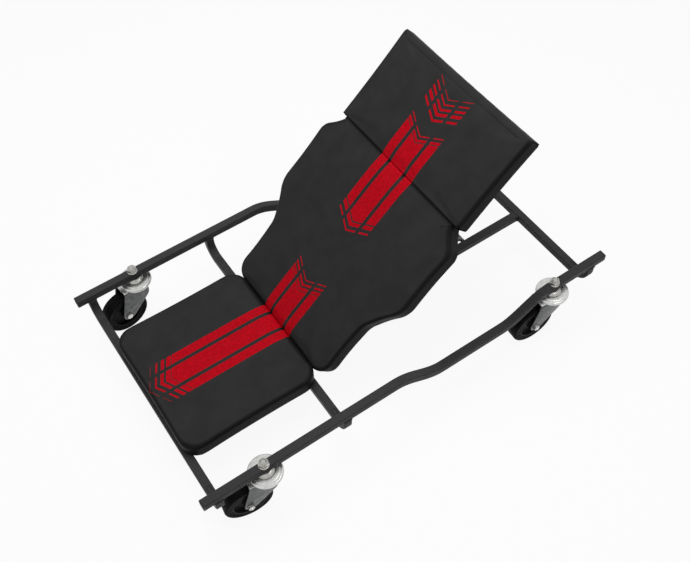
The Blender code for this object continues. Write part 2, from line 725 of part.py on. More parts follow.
def castor_stem():
    """The castor's stem: a head under the fork, the fixed upper race and a thread up the rail."""
    seat = FORK_PLATE_Z - RUN
    top = RAIL_TOP_Z + FIT + NUT_FLANGE + STEM_NUT + STEM_NUT_COLLAR + STEM_TIP
    low = RAIL_BASE_Z - FIT - RACE_HEIGHT
    rim = RACE_HEIGHT / 2
    chamfer = STEM_RADIUS / 4
    return turned([
        (0, seat - STEM_HEAD), (STEM_HEAD_RADIUS, seat - STEM_HEAD), (STEM_HEAD_RADIUS, seat),
        (STEM_RADIUS, seat), (STEM_RADIUS, low), (RACE_RADIUS - rim / 2, low),
        (RACE_RADIUS, low + rim / 2), (RACE_RADIUS, low + rim), (RACE_RADIUS - rim, low + RACE_HEIGHT),
        (STEM_RADIUS, low + RACE_HEIGHT), (STEM_RADIUS, top - chamfer), (STEM_RADIUS - chamfer, top),
        (0, top),
    ], ROUND_SIDES)


def stem_nut():
    """A flanged locking nut with its round collar, down on the rail."""
    low = RAIL_TOP_Z + FIT
    top = low + NUT_FLANGE + STEM_NUT
    flange = turned([
        (0, low), (NUT_FLANGE_RADIUS, low), (NUT_FLANGE_RADIUS, low + NUT_FLANGE / 2),
        (NUT_FLANGE_RADIUS - NUT_FLANGE, low + NUT_FLANGE), (0, low + NUT_FLANGE),
    ], ROUND_SIDES)
    collar = rod(STEM_NUT_HEX * 0.45, low, top + STEM_NUT_COLLAR, ROUND_SIDES)
    thread = bore(STEM_RADIUS, 0, 2 * RAIL_TOP_Z)
    blank = prism(hexagon(STEM_NUT_HEX), low + NUT_FLANGE / 2, top)
    return carved(flange, ("UNION", blank), ("UNION", collar), ("DIFFERENCE", thread))


def build_frame(paint, plastic):
    """The welded frame and its end plugs."""
    for name, side in SIDES.items():
        node(f"side_rail_{name}", side_rail(side), paint)
        node(f"spine_rail_{name}", spine_rail(side), paint)
    for name, x in (("front", FRONT_CROSS_X), ("middle", MIDDLE_CROSS_X), ("rear", REAR_CROSS_X)):
        node(f"{name}_cross_tube", cross_tube(x), paint)
    for name, side in SIDES.items():
        for end, direction in (("front", -1), ("rear", 1)):
            place = (direction * (-FRONT_X - PLUG_FLANGE), side * RAIL_Y, RAIL_TOP_Z - HALF_TUBE)
            plug = moved(end_plug(), turn=turned_about("Z", 0 if direction < 0 else 180))
            node(f"rail_plug_{end}_{name}", plug, plastic, location=place)


def build_seat(wood, vinyl):
    """The fixed seat, which rests on the front and middle cross tubes."""
    base = SEAT_BASE_Z
    node("seat_board", prism(rounded(seat_outline(BOARD_MARGIN)), base, base + BOARD), wood)
    pad = cushion(rounded(seat_outline(0), EDGE_STEPS, PAD_DRAW))
    node("seat_pad", pad, vinyl, location=(0, 0, base + BOARD + FIT))


def build_back(paint, wood, vinyl, zinc):
    """The tilting backrest and its hinges."""
    for name, side in SIDES.items():
        place = (HINGE_X, side * BACK_TUBE_SPACING / 2, HINGE_Z)
        node(f"hinge_bracket_{name}", hinge_bracket(), paint, location=place)
        node(f"hinge_pin_{name}", hinge_pin(), zinc, location=place)
    back = empty("backrest_hinge", (HINGE_X, 0, HINGE_Z), tilt=-BACK_ANGLE)
    for name, side in SIDES.items():
        node(f"back_frame_{name}", back_tube(side), paint, back)
    for name, outline in (("back", back_outline), ("head", head_outline)):
        board = prism(rounded(outline(BOARD_MARGIN)), BOARD_BASE, BOARD_BASE + BOARD)
        pad = cushion(rounded(outline(0), EDGE_STEPS, PAD_DRAW))
        node(f"{name}_board", board, wood, back)
        node(f"{name}_pad", pad, vinyl, back, (0, 0, PAD_BASE))
    return back


def build_prop(back, paint, zinc):
    """The prop that holds the backrest up, its saddle and the racks it stands on."""
    pivot = (PROP_FROM_HINGE, 0, PROP_PIVOT_RISE)
    node("prop_saddle", prop_saddle(), zinc, back, pivot)
    prop = empty("prop_pivot", pivot, back, tilt=PROP_FOLD)
    node("prop_stay", prop_stay(), zinc, prop)
    for name, side in SIDES.items():
        node(f"notch_rack_{name}", notch_rack(side), paint)


def build_castors(zinc, rubber, moulding):
    """Four swivel castors: stems fixed to the rails, forks that swivel and wheels that roll."""
    fixed = {"castor_stem": castor_stem(), "castor_nut": stem_nut()}
    forks = fork()
    on_axle = {"axle_bolt": axle_bolt(), "axle_nut": axle_nut(), "axle_sleeve": axle_sleeve()}
    wheel = {"wheel_tyre": (tyre(), rubber), "wheel_hub": (wheel_hub(), moulding)}
    for end, x in CASTOR_X.items():
        for name, side in SIDES.items():
            where = f"{end}_{name}"
            for piece, mesh in fixed.items():
                node(f"{piece}_{where}", mesh, zinc, location=(x, side * RAIL_Y, 0))
            swivel = empty(f"swivel_{where}", (x, side * RAIL_Y, 0), heading=side * CASTOR_TOE[end])
            axle = empty(f"axle_{where}", (-TRAIL, 0, WHEEL_RADIUS), swivel)
            node(f"castor_fork_{where}", forks, zinc, swivel)
            outward = turned_about("Z", 0 if side > 0 else 180)
            for piece, mesh in on_axle.items():
                node(f"{piece}_{where}", moved(mesh, turn=outward), zinc, axle)
            for piece, (mesh, material) in wheel.items():
                node(f"{piece}_{where}", mesh, material, axle)


def main():
    for leftover in list(bpy.data.objects):
        bpy.data.objects.remove(leftover)
    paint = finish("charcoal_powder_coat", (0.045, 0.045, 0.047), 0.45, 0.2)
    plastic = finish("black_plug_plastic", (0.03, 0.03, 0.03), 0.6)
    wood = finish("birch_plywood", (0.42, 0.30, 0.18), 0.7)
    vinyl = finish("black_vinyl", (0.025, 0.025, 0.025), 0.5)
    zinc = finish("zinc_plated_steel", (0.62, 0.62, 0.60), 0.32, 1.0)
    rubber = finish("black_rubber", (0.012, 0.012, 0.012), 0.55)
    moulding = finish("black_nylon", (0.02, 0.02, 0.02), 0.45)
    build_frame(paint, plastic)
    build_seat(wood, vinyl)
    back = build_back(paint, wood, vinyl, zinc)
    build_prop(back, paint, zinc)
    build_castors(zinc, rubber, moulding)


main()
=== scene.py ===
# %% [markdown]
# # A mechanic creeper, dressed
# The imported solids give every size, place and joint of the creeper. This script adds what the eye
# sees: soft upholstery, smooth tube, pressed castors, powder coat, zinc, rubber and print.
# Each step has a note before it, so the file can be read and run one cell at a time.

# %% Load the frame
import json
import math

import bmesh
import bpy
from mathutils import Matrix, Vector
from mathutils.bvhtree import BVHTree

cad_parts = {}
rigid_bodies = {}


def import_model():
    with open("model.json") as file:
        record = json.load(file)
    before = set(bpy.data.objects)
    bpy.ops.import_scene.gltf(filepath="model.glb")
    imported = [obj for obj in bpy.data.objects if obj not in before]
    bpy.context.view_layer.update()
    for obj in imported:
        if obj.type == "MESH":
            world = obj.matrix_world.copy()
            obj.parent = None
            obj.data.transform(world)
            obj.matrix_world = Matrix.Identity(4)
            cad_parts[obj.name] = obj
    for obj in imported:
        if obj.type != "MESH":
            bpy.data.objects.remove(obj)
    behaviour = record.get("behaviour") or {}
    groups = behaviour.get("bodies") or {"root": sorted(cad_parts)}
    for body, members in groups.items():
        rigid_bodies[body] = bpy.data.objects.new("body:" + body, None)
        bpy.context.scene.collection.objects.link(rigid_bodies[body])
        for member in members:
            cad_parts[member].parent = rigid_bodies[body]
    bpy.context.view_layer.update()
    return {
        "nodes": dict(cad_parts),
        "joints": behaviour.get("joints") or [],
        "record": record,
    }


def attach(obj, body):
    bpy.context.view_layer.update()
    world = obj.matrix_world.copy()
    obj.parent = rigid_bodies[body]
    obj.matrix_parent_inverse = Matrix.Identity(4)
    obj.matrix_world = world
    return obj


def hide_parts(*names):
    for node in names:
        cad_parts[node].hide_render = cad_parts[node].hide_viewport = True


for leftover in list(bpy.data.objects):
    bpy.data.objects.remove(leftover)
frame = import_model()
cad = frame["nodes"]
joints = {joint["name"]: joint for joint in frame["joints"]}
print("solids:", len(cad), "joints:", len(joints))

# %% [markdown]
# ## Where things are
# A part that tilts or swivels is easiest to shape in its own straight frame, and to turn into place
# at the end. The joints say where those frames are: the backrest's at its hinge, the prop's at its
# pivot, and each castor's under its stem, headed the way its wheel trails.

# %% Frames of the moving parts
SIDES = {"left": 1, "right": -1}
CASTORS = [f"{end}_{side}" for end in ("front", "rear") for side in SIDES]
CROSS_TUBES = ("front", "middle", "rear")
AT_REST = Matrix()

hinge_at = Vector(joints["back_recline"]["pos_m"])
pivot_at = Vector(joints["prop_fold"]["pos_m"])
back_tilt = math.radians(joints["back_recline"]["range_deg"][1])
back_turn = Matrix.Rotation(-back_tilt, 4, "Y")
prop_fold = -frame["record"]["behaviour"]["couplings"][0]["ratio"] * back_tilt
back_place = Matrix.Translation(hinge_at) @ back_turn
saddle_place = Matrix.Translation(pivot_at) @ back_turn
prop_place = Matrix.Translation(pivot_at) @ Matrix.Rotation(prop_fold - back_tilt, 4, "Y")


def castor_frame(corner):
    """The floor point under a castor's stem, with -X towards its wheel."""
    stem = Vector(joints[f"swivel_{corner}"]["pos_m"])
    axle = joints[f"roll_{corner}"]["axis"]
    heading = math.atan2(-axle[0], axle[1])
    return Matrix.Translation((stem.x, stem.y, 0)) @ Matrix.Rotation(heading, 4, "Z")


castor_places = {corner: castor_frame(corner) for corner in CASTORS}


def local_box(node, place=AT_REST):
    """Lowest and highest corner of a solid, measured in one of those frames."""
    inverse = place.inverted()
    points = [inverse @ vertex.co for vertex in cad[node].data.vertices]
    return [Vector(pick(point[k] for point in points) for k in range(3)) for pick in (min, max)]


def box_middle(node, place=AT_REST):
    low, high = local_box(node, place)
    return (low + high) / 2


rail_low, rail_high = local_box("side_rail_left")
TUBE = rail_high.y - rail_low.y
RAIL_Y = (rail_high.y + rail_low.y) / 2
RAIL_BASE_Z = rail_high.z - TUBE
print(f"tube {TUBE * 1000:.1f} mm, rails at y = {RAIL_Y * 1000:.1f} mm")

# %% [markdown]
# ## Helpers for node trees
# Shaders and Geometry Nodes are both trees of nodes. One small function adds a node, sets its
# options and fills its inputs with a number or a link. Colours are written as sRGB hex, the way a
# picture editor shows them, and turned into the linear values that Blender works with.

# %% Nodes and colours
MM = 0.001
MATH = "ShaderNodeMath"
COLOUR_STOPS = (0.32, 0.68)
NOISE_SPAN = {"From Min": 0.3, "From Max": 0.7}


def linear(code):
    """An sRGB hex colour as linear RGBA."""
    channels = [int(code[k:k + 2], 16) / 255 for k in (1, 3, 5)]
    return (*[c / 12.92 if c <= 0.04045 else ((c + 0.055) / 1.055) ** 2.4 for c in channels], 1.0)


def add(tree, kind, values=None, **options):
    """Add a node with its options, each input given a number or linked to a socket."""
    node = tree.nodes.new(kind)
    for name, option in options.items():
        setattr(node, name, option)
    for key, value in (values or {}).items():
        if isinstance(value, bpy.types.NodeSocket):
            tree.links.new(value, node.inputs[key])
        else:
            node.inputs[key].default_value = value
    return node


def new_finish(name, values):
    """A material with one Principled shader; returns it, its tree, its shader and its coordinates."""
    material = bpy.data.materials.new(name)
    material.use_nodes = True
    tree = material.node_tree
    shader = tree.nodes["Principled BSDF"]
    for key, value in values.items():
        shader.inputs[key].default_value = value
    return material, tree, shader, add(tree, "ShaderNodeTexCoord").outputs["Object"]


def mottled(tree, where, size, low, high, detail=2.0):
    """Noise with blotches of a real size, spread between two colours or two numbers."""
    noise = add(tree, "ShaderNodeTexNoise", {"Vector": where, "Scale": 1 / size, "Detail": detail})
    if isinstance(low, str):
        ramp = add(tree, "ShaderNodeValToRGB", {"Fac": noise.outputs["Fac"]})
        for stop, position, code in zip(ramp.color_ramp.elements, COLOUR_STOPS, (low, high)):
            stop.position = position
            stop.color = linear(code)
        return ramp.outputs["Color"]
    spread = {"Value": noise.outputs["Fac"], **NOISE_SPAN, "To Min": low, "To Max": high}
    return add(tree, "ShaderNodeMapRange", spread).outputs["Result"]


def relief(tree, shader, height, depth, strength):
    """Bump of a real depth from a height between 0 and 1."""
    bump = add(tree, "ShaderNodeBump", {"Height": height, "Distance": depth, "Strength": strength})
    tree.links.new(bump.outputs["Normal"], shader.inputs["Normal"])


def blotched(name, values, colour, gloss, grain, mapping=None):
    """A finish with blotches of colour and of roughness over a fine grain.

    Colour and gloss hold the blotches' size, their two ends and the noise's detail. Grain holds a
    size, a depth and a strength. A mapping turns and stretches the whole pattern.
    """
    material, tree, shader, where = new_finish(name, values)
    if mapping:
        turned = add(tree, "ShaderNodeMapping", {"Vector": where, **mapping}, vector_type="TEXTURE")
        where = turned.outputs["Vector"]
    size, depth, strength = grain
    tree.links.new(mottled(tree, where, *colour), shader.inputs["Base Color"])
    tree.links.new(mottled(tree, where, *gloss), shader.inputs["Roughness"])
    relief(tree, shader, mottled(tree, where, size, 0.0, 1.0), depth, strength)
    return material


# %% [markdown]
# ## Powder coat
# The frame is steel tube under a charcoal powder coat: plastic powder baked on, which flows out
# with a faint orange peel and a fine speckle. Soft highlights run along its rounded corners. The
# peel is about 1.5 mm wide; the speckle is drawn a little coarser than it is, so that it shows.

# %% Charcoal powder coat
PEEL = 1.5 * MM
SPECKLE = 2.2 * MM
PATCH = 25 * MM

powder_coat = blotched(
    "charcoal_powder_coat", {"Specular IOR Level": 0.1}, (SPECKLE, "#353536", "#414142", 3.0),
    (PATCH, 0.42, 0.5), (PEEL, 0.10 * MM, 0.5),
)

# %% [markdown]
# ## Zinc plate
# Swivel heads, nuts and bolts are turned or burnished steel with bright zinc plate. Plating is a metal
# that mirrors softly, with cloudy patches a centimetre or so across where the bath and the handling
# left it duller. The nuts are greyer. The forks' folded sheet gets a darker copy of the zinc, painted
# shade for its upright cheeks; the prop's bail and strap use it too.

# %% Bright zinc plate
CLOUD = 9 * MM
BATH_GRAIN = 1.2 * MM


def plated(name, low, high, gloss):
    """Zinc on steel: two greys, a range of roughness and the faint texture of the bath."""
    clouds = (CLOUD, low, high, 4.0)
    return blotched(name, {"Metallic": 1.0}, clouds, (CLOUD / 2, *gloss, 3.0), (BATH_GRAIN, 0.03 * MM, 0.4))


zinc_plate = plated("bright_zinc_plate", "#bcbdba", "#d6d7d4", (0.28, 0.4))
grey_zinc = plated("grey_zinc_plate", "#9d9c98", "#b9b8b3", (0.28, 0.4))
# A darker copy of the zinc: painted shade for the forks' cheeks, also used on the prop.
shaded_zinc = plated("zinc_with_painted_shade", "#4c4d4d", "#666767", (0.26, 0.42))

# %% [markdown]
# ## Rubber, nylon, polythene and plywood
# The tyres are black rubber, dull and a little dusty. The hubs are moulded nylon, smoother than
# the rubber, and the tube plugs are waxy polythene. The boards are birch plywood, whose veneer
# shows long grain: noise stretched along the sheet.

# %% The plainer finishes
BLOOM = 6 * MM
HANDLING = 15 * MM
VENEER = {"colour": 5 * MM, "sheen": 9 * MM, "pores": 1.5 * MM}
GRAIN_STRETCH = 14


def moulded(name, low, high, gloss, grain, shine):
    """A moulded black finish: two near blacks, a range of roughness and a fine grain."""
    relief_of = (grain, 0.06 * MM, 0.4)
    return blotched(name, {"Specular IOR Level": shine}, (BLOOM, low, high), (HANDLING, *gloss), relief_of)


def birch_plywood(name, place):
    along = {"Location": place.translation, "Rotation": place.to_euler(), "Scale": (GRAIN_STRETCH, 1, 1)}
    return blotched(
        name, {"IOR": 1.45}, (VENEER["colour"], "#a98558", "#cdae7f", 5.0), (VENEER["sheen"], 0.55, 0.7),
        (VENEER["pores"], 0.08 * MM, 0.5), along,
    )


tyre_rubber = moulded("black_tyre_rubber", "#0b0b0b", "#131313", (0.5, 0.68), 0.9 * MM, 0.05)
hub_nylon = moulded("black_hub_nylon", "#060606", "#0a0a0a", (0.36, 0.46), 1.4 * MM, 0.05)
plug_polythene = moulded("black_plug_polythene", "#151516", "#1d1d1e", (0.42, 0.55), 1.2 * MM, 0.3)
seat_plywood = birch_plywood("seat_birch_plywood", AT_REST)
back_plywood = birch_plywood("back_birch_plywood", back_place)

# %% [markdown]
# ## Printed vinyl
# The pads wear black vinyl: cloth with a coat of PVC, embossed with a fine leather grain, satin
# rather than shiny. A red band is screen-printed down the middle. Here it is a plain sports stripe
# of three bars that break up into slanted dashes at their ends. The mask is arithmetic on two
# lengths, along the pad and across it, so its sizes are real ones. Ink lies a little smoother than
# vinyl, and its solid areas are flecked where the grain takes no ink. The sides are painted blacker
# than the top: painted shade for the side walls, also where pads meet, which the light from above
# leaves dark. Each cover says how much of that shade its points take in an attribute.

# %% Black vinyl with a red stripe
GRAIN = 1.6 * MM
MIDDLE_BAR = 21 * MM
SIDE_BAR = (29 * MM, 50 * MM)
DASH = 13 * MM
SLANT = 0.55
FLECK = 3.5 * MM
NO_INK = 0.06
SHADE_PATCH = 40 * MM
RED_PATCH = 5 * MM
SIDE_SHADE_ATTRIBUTE = "side_shade_share"


def printed_vinyl(name, place, spans):
    """Vinyl with the stripe over spans of (start, start fade, end, end fade) along the pad's X."""
    material, tree, shader, where = new_finish(name, {"Specular IOR Level": 0.05})
    local = add(tree, "ShaderNodeMapping", {
        "Vector": where, "Location": place.translation, "Rotation": place.to_euler(),
    }, vector_type="TEXTURE")
    axes = add(tree, "ShaderNodeSeparateXYZ", {"Vector": local.outputs["Vector"]}).outputs
    across = add(tree, MATH, {0: axes["Y"]}, operation="ABSOLUTE").outputs[0]
    middle = add(tree, MATH, {0: across, 1: MIDDLE_BAR}, operation="LESS_THAN").outputs[0]
    outside = add(tree, MATH, {0: across, 1: SIDE_BAR[0]}, operation="GREATER_THAN").outputs[0]
    inside = add(tree, MATH, {0: across, 1: SIDE_BAR[1]}, operation="LESS_THAN").outputs[0]
    bars = add(tree, MATH, {0: outside, 1: inside, 2: middle}, operation="MULTIPLY_ADD").outputs[0]

    along = add(tree, MATH, {0: across, 1: -SLANT, 2: axes["X"]}, operation="MULTIPLY_ADD").outputs[0]
    steps = add(tree, MATH, {0: along, 1: DASH}, operation="DIVIDE").outputs[0]
    dash = add(tree, MATH, {0: steps}, operation="FRACT").outputs[0]
    ink = 0.0
    for start, start_fade, end, end_fade in spans:
        ramps = (start, start + start_fade), (end, end - end_fade)
        ends = [{"Value": along, "From Min": none, "From Max": full} for none, full in ramps]
        rise, fall = (add(tree, "ShaderNodeMapRange", ramp, clamp=False).outputs["Result"] for ramp in ends)
        share = add(tree, MATH, {0: rise, 1: fall}, operation="MINIMUM").outputs[0]
        cut = add(tree, MATH, {0: dash, 1: share}, operation="LESS_THAN").outputs[0]
        ink = add(tree, MATH, {0: ink, 1: cut}, operation="MAXIMUM").outputs[0]
    stripe = add(tree, MATH, {0: ink, 1: bars}, operation="MULTIPLY").outputs[0]
    fleck = mottled(tree, where, FLECK, 0.0, 1.0, 6.0)
    inked = add(tree, MATH, {0: fleck, 1: NO_INK}, operation="GREATER_THAN").outputs[0]
    mask = add(tree, MATH, {0: stripe, 1: inked}, operation="MULTIPLY").outputs[0]

    # The top's own tone, and a blacker copy of it that is painted shade on the sides.
    coated_mesh_or_top_tone = mottled(tree, where, SHADE_PATCH, "#2d2d2d", "#323232")
    painted_side_shade_tone = mottled(tree, where, SHADE_PATCH, "#191919", "#1d1d1d")
    side_shade_share = add(tree, "ShaderNodeAttribute", attribute_name=SIDE_SHADE_ATTRIBUTE).outputs["Fac"]
    tones = {"Factor": side_shade_share, "A": coated_mesh_or_top_tone, "B": painted_side_shade_tone}
    vinyl = add(tree, "ShaderNodeMix", tones, data_type="RGBA").outputs["Result"]
    red = mottled(tree, where, RED_PATCH, "#a80a18", "#c60c1e", 5.0)
    colour = add(tree, "ShaderNodeMix", {"Factor": mask, "A": vinyl, "B": red}, data_type="RGBA")
    tree.links.new(colour.outputs["Result"], shader.inputs["Base Color"])
    gloss = {"Value": mask, "To Min": 0.52, "To Max": 0.44}
    tree.links.new(add(tree, "ShaderNodeMapRange", gloss).outputs["Result"], shader.inputs["Roughness"])
    cells = add(tree, "ShaderNodeTexVoronoi", {"Vector": where, "Scale": 1 / GRAIN}, feature="SMOOTH_F1")
    relief(tree, shader, cells.outputs["Distance"], 0.12 * MM, 0.35)
    return material


FAR = 1.0
SEAT_STRIPE = [(-0.484, 0.060, FAR, 0.1)]
BACK_STRIPES = [(-FAR, 0.1, 0.142, 0.045), (0.262, 0.045, 0.530, 0.030), (0.552, 0.030, 0.622, 0.075)]
seat_vinyl = printed_vinyl("seat_black_vinyl", AT_REST, SEAT_STRIPE)
back_vinyl = printed_vinyl("back_black_vinyl", back_place, BACK_STRIPES)
print("finishes:", len(bpy.data.materials))

# %% [markdown]
# ## Helpers for shapes
# Modifiers and Geometry Nodes give a live result. The pieces here are plain meshes, with their
# place in their points, so each result is read back with new_from_object and the carrier goes.
# A finished piece then rides on its body and, where it is the better form of a solid, replaces it.
# A boolean's tool reaches past its blank, because faces in one plane, or edges that just touch, can
# leave nothing at all.

# %% From carrier to piece
SMOOTH_UNDER = math.radians(32)
EASED_FROM = math.radians(40)
SAME_POINT = 1e-6


def carrier_of(mesh):
    carrier = bpy.data.objects.new("carrier", mesh)
    bpy.context.collection.objects.link(carrier)
    return carrier


def baked(carrier, *helpers):
    """The carrier's mesh as its modifiers leave it; the carrier and its helpers go."""
    bpy.context.view_layer.update()
    depsgraph = bpy.context.evaluated_depsgraph_get()
    mesh = bpy.data.meshes.new_from_object(carrier.evaluated_get(depsgraph))
    for spent in (carrier, *helpers):
        bpy.data.objects.remove(spent)
    return mesh


def mesh_of(bm):
    """A mesh from a bmesh, its doubles merged and its faces outwards."""
    bmesh.ops.remove_doubles(bm, verts=bm.verts, dist=SAME_POINT)
    bmesh.ops.recalc_face_normals(bm, faces=bm.faces)
    mesh = bpy.data.meshes.new("shape")
    bm.to_mesh(mesh)
    bm.free()
    return mesh


def placed(mesh, *turns):
    """A copy of a mesh, moved by matrices, the last one first."""
    copy = mesh.copy()
    for turn in reversed(turns):
        copy.transform(turn)
    return copy


def together(meshes):
    """Meshes as one, its doubles merged and its faces outwards."""
    bm = bmesh.new()
    for mesh in meshes:
        bm.from_mesh(mesh)
    return mesh_of(bm)


def coat(mesh, finish):
    mesh.materials.clear()
    mesh.materials.append(finish)


def piece(name, mesh, finish, body, slot, *stands_for):
    """One finished piece of the creeper."""
    made = bpy.data.objects.new(name, mesh)
    bpy.context.collection.objects.link(made)
    coat(mesh, finish)
    mesh.shade_smooth()
    mesh.set_sharp_from_angle(angle=SMOOTH_UNDER)
    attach(made, body)
    if stands_for:
        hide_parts(*stands_for)
    return made


def carved(mesh, *steps):
    """Boolean steps, each an operation and a tool mesh."""
    blank = carrier_of(mesh)
    tools = []
    for operation, tool_mesh in steps:
        tool = carrier_of(tool_mesh)
        tools.append(tool)
        modifier = blank.modifiers.new(operation, "BOOLEAN")
        modifier.operation = operation
        modifier.object = tool
    return baked(blank, *tools)


def eased(mesh, width):
    """The mesh with its sharp edges rounded off."""
    blank = carrier_of(mesh)
    bevel = blank.modifiers.new("ease", "BEVEL")
    bevel.width = width
    bevel.segments = 2
    bevel.limit_method = "ANGLE"
    bevel.angle_limit = EASED_FROM
    return baked(blank)


def prism(outline, low, high):
    """An outline in X and Y, extruded along Z."""
    bm = bmesh.new()
    face = bm.faces.new([bm.verts.new((x, y, low)) for x, y in outline])
    grown = bmesh.ops.extrude_face_region(bm, geom=[face])
    top = [item for item in grown["geom"] if isinstance(item, bmesh.types.BMVert)]
    bmesh.ops.translate(bm, verts=top, vec=(0, 0, high - low))
    return mesh_of(bm)


def lathe(profile, steps, ring=False):
    """A turned shape about Z from (radius, height) points; a ring's profile is a closed loop."""
    bm = bmesh.new()
    points = [bm.verts.new((radius, 0, height)) for radius, height in profile]
    pairs = list(zip(points, points[1:])) + ([(points[-1], points[0])] if ring else [])
    edges = [bm.edges.new(pair) for pair in pairs]
    bmesh.ops.spin(
        bm, geom=points + edges, axis=(0, 0, 1), cent=(0, 0, 0), angle=2 * math.pi, steps=steps,
    )
    return mesh_of(bm)


def rod(radius, low, high, steps):
    """A plain turned rod, such as a drill for a hole."""
    return lathe([(0, low), (radius, low), (radius, high), (0, high)], steps)


def lower_half(upper):
    """The lower half of a turned profile, from its upper half."""
    return [(radius, -height) for radius, height in reversed(upper)]


def arc_path(corners, radius, steps):
    """A planar path through corners, each rounded to a bend radius."""
    path = [corners[0]]
    for before, corner, after in zip(corners, corners[1:], corners[2:]):
        back = (before - corner).normalized()
        ahead = (after - corner).normalized()
        half = back.angle(ahead) / 2
        centre = corner + (back + ahead).normalized() * (radius / math.sin(half))
        start = corner + back * radius / math.tan(half) - centre
        axis = back.cross(start)
        for k in range(steps + 1):
            path.append(centre + Matrix.Rotation((math.pi - 2 * half) * k / steps, 3, axis) @ start)
    return path + [corners[-1]]


def rounded(corners, steps=8):
    """A closed anticlockwise outline of (x, y, radius) corners with arcs."""
    outline = []
    for before, corner, after in zip(corners[-1:] + corners, corners, corners[1:] + corners[:1]):
        flat = [Vector((*point[:2], 0)) for point in (before, corner, after)]
        reach = [flat[1].lerp(end, 0.5) for end in (flat[0], flat[2])]
        arc = arc_path([reach[0], flat[1], reach[1]], corner[2], steps)[1:-1]
        outline += [(point.x, point.y) for point in arc]
    return outline


def rounded_square(half, corner, steps):
    ends = (-half, -half), (half, -half), (half, half), (-half, half)
    return rounded([(*end, corner) for end in ends], steps)


Y_UP = Matrix.Rotation(math.radians(-90), 4, "X")
ON_EDGE = Matrix.Rotation(math.radians(90), 4, "X")

# %% [markdown]
# ## Growing things along a path
# Tube, weld beads and staples all follow a path, which is what Geometry Nodes are best at. A path
# is a wire of points. Each tree turns it into a curve, and its named inputs hold the real sizes.

# %% Trees and how they are run
def wire(points, closed=False):
    mesh = bpy.data.meshes.new("wire")
    edges = [(k, k + 1) for k in range(len(points) - 1)]
    mesh.from_pydata(points, edges + ([(len(points) - 1, 0)] if closed else []), [])
    return mesh


def new_tree(name, sizes, shapes=()):
    """A tree with geometry in and out, a number for each size and an object for each shape."""
    tree = bpy.data.node_groups.new(name, "GeometryNodeTree")
    sockets = [("Geometry", "Geometry"), *((size, "Float") for size in sizes)]
    sockets += [*((shape, "Object") for shape in shapes), ("Finish", "Material")]
    for label, kind in sockets:
        tree.interface.new_socket(label, in_out="INPUT", socket_type=f"NodeSocket{kind}")
    tree.interface.new_socket("Geometry", in_out="OUTPUT", socket_type="NodeSocketGeometry")
    return tree, add(tree, "NodeGroupInput").outputs


def close_tree(tree, inputs, geometry):
    real = add(tree, "GeometryNodeRealizeInstances", {"Geometry": geometry})
    coated_mesh_or_top_tone = add(tree, "GeometryNodeSetMaterial", {"Geometry": real.outputs[0], "Material": inputs["Finish"]})
    add(tree, "NodeGroupOutput", {"Geometry": coated_mesh_or_top_tone.outputs[0]})


def grown(mesh, tree, values, *helpers):
    """The plain mesh that a tree grows on a mesh, with its inputs set by identifier."""
    carrier = carrier_of(mesh)
    modifier = carrier.modifiers.new("grow", "NODES")
    modifier.node_group = tree
    for socket in tree.interface.items_tree:
        if socket.in_out == "INPUT" and socket.name in values:
            modifier[socket.identifier] = values[socket.name]
    return baked(carrier, *helpers)


# %% [markdown]
# ## Square tube
# The frame is 19 mm square tube, bent cold. A square with filleted corners swept along the path
# gives the outside, and Solidify gives the wall, so that open ends are truly hollow. The tool that
# bends a cross tube leaves a dent in its upper face before each bend, which catches the light.

# %% The square tube tree
TUBE_CORNER = 2.4 * MM
TUBE_WALL = 1.5 * MM
CORNER_POINTS = 5
SECTION_POINTS = 72


def square_tube_tree():
    tree, inputs = new_tree("square_tube", ["Side", "Corner radius"])
    path = add(tree, "GeometryNodeMeshToCurve", {"Mesh": inputs["Geometry"]}).outputs[0]
    steady = add(tree, "GeometryNodeSetCurveNormal", {"Curve": path}, mode="MINIMUM_TWIST").outputs[0]
    sides = {"Width": inputs["Side"], "Height": inputs["Side"]}
    square = add(tree, "GeometryNodeCurvePrimitiveQuadrilateral", sides).outputs[0]
    fillet = {"Curve": square, "Radius": inputs["Corner radius"], "Count": CORNER_POINTS}
    section = add(tree, "GeometryNodeFilletCurve", fillet, mode="POLY").outputs[0]
    fine = add(tree, "GeometryNodeResampleCurve", {"Curve": section, "Count": SECTION_POINTS}).outputs[0]
    swept = add(tree, "GeometryNodeCurveToMesh", {"Curve": steady, "Profile Curve": fine}).outputs[0]
    close_tree(tree, inputs, swept)
    return tree


square_tube = square_tube_tree()
CROSS_BEND = 0.035
BEND_STEPS = 24
DENT = 3 * MM
DENT_LENGTH = 9 * MM
DENT_WIDTH = 5 * MM
DENT_BACK = 8 * MM
DENT_RUN = 24 * MM
DENT_STEPS = 12


def press_bend(skin, centre, side):
    """The oval dent that a bending tool leaves in the upper face just before a bend."""
    face = centre.z - CROSS_BEND + TUBE / 2 - TUBE_CORNER
    for vertex in skin.vertices:
        along = side * (vertex.co.y - centre.y) + DENT_BACK
        across = vertex.co.x - centre.x
        if vertex.co.z > face:
            reach = (along / DENT_LENGTH) ** 2 + (across / DENT_WIDTH) ** 2
            vertex.co.z -= DENT * math.exp(-reach ** 4)


def tube_along(path, dents=()):
    """Hollow square tube along a path, open at its ends, with a dent before each bend named."""
    sizes = {"Side": TUBE, "Corner radius": TUBE_CORNER, "Finish": powder_coat}
    skin = grown(wire(path), square_tube, sizes)
    for centre, side in dents:
        press_bend(skin, centre, side)
    blank = carrier_of(together([skin]))
    wall = blank.modifiers.new("wall", "SOLIDIFY")
    wall.thickness = TUBE_WALL
    wall.offset = -1
    return baked(blank)


# %% [markdown]
# The side rails run straight, dip at the user's elbows and rise again. The dip is an eased S: half a
# cosine down, a flat, and half a cosine up.

# %% Side rails
DIP_START_X = -0.061
DIP_BEND = 0.126
DIP_FLAT = 0.162
DIP_STEPS = 28

dip_depth = rail_high.z - rail_low.z - TUBE


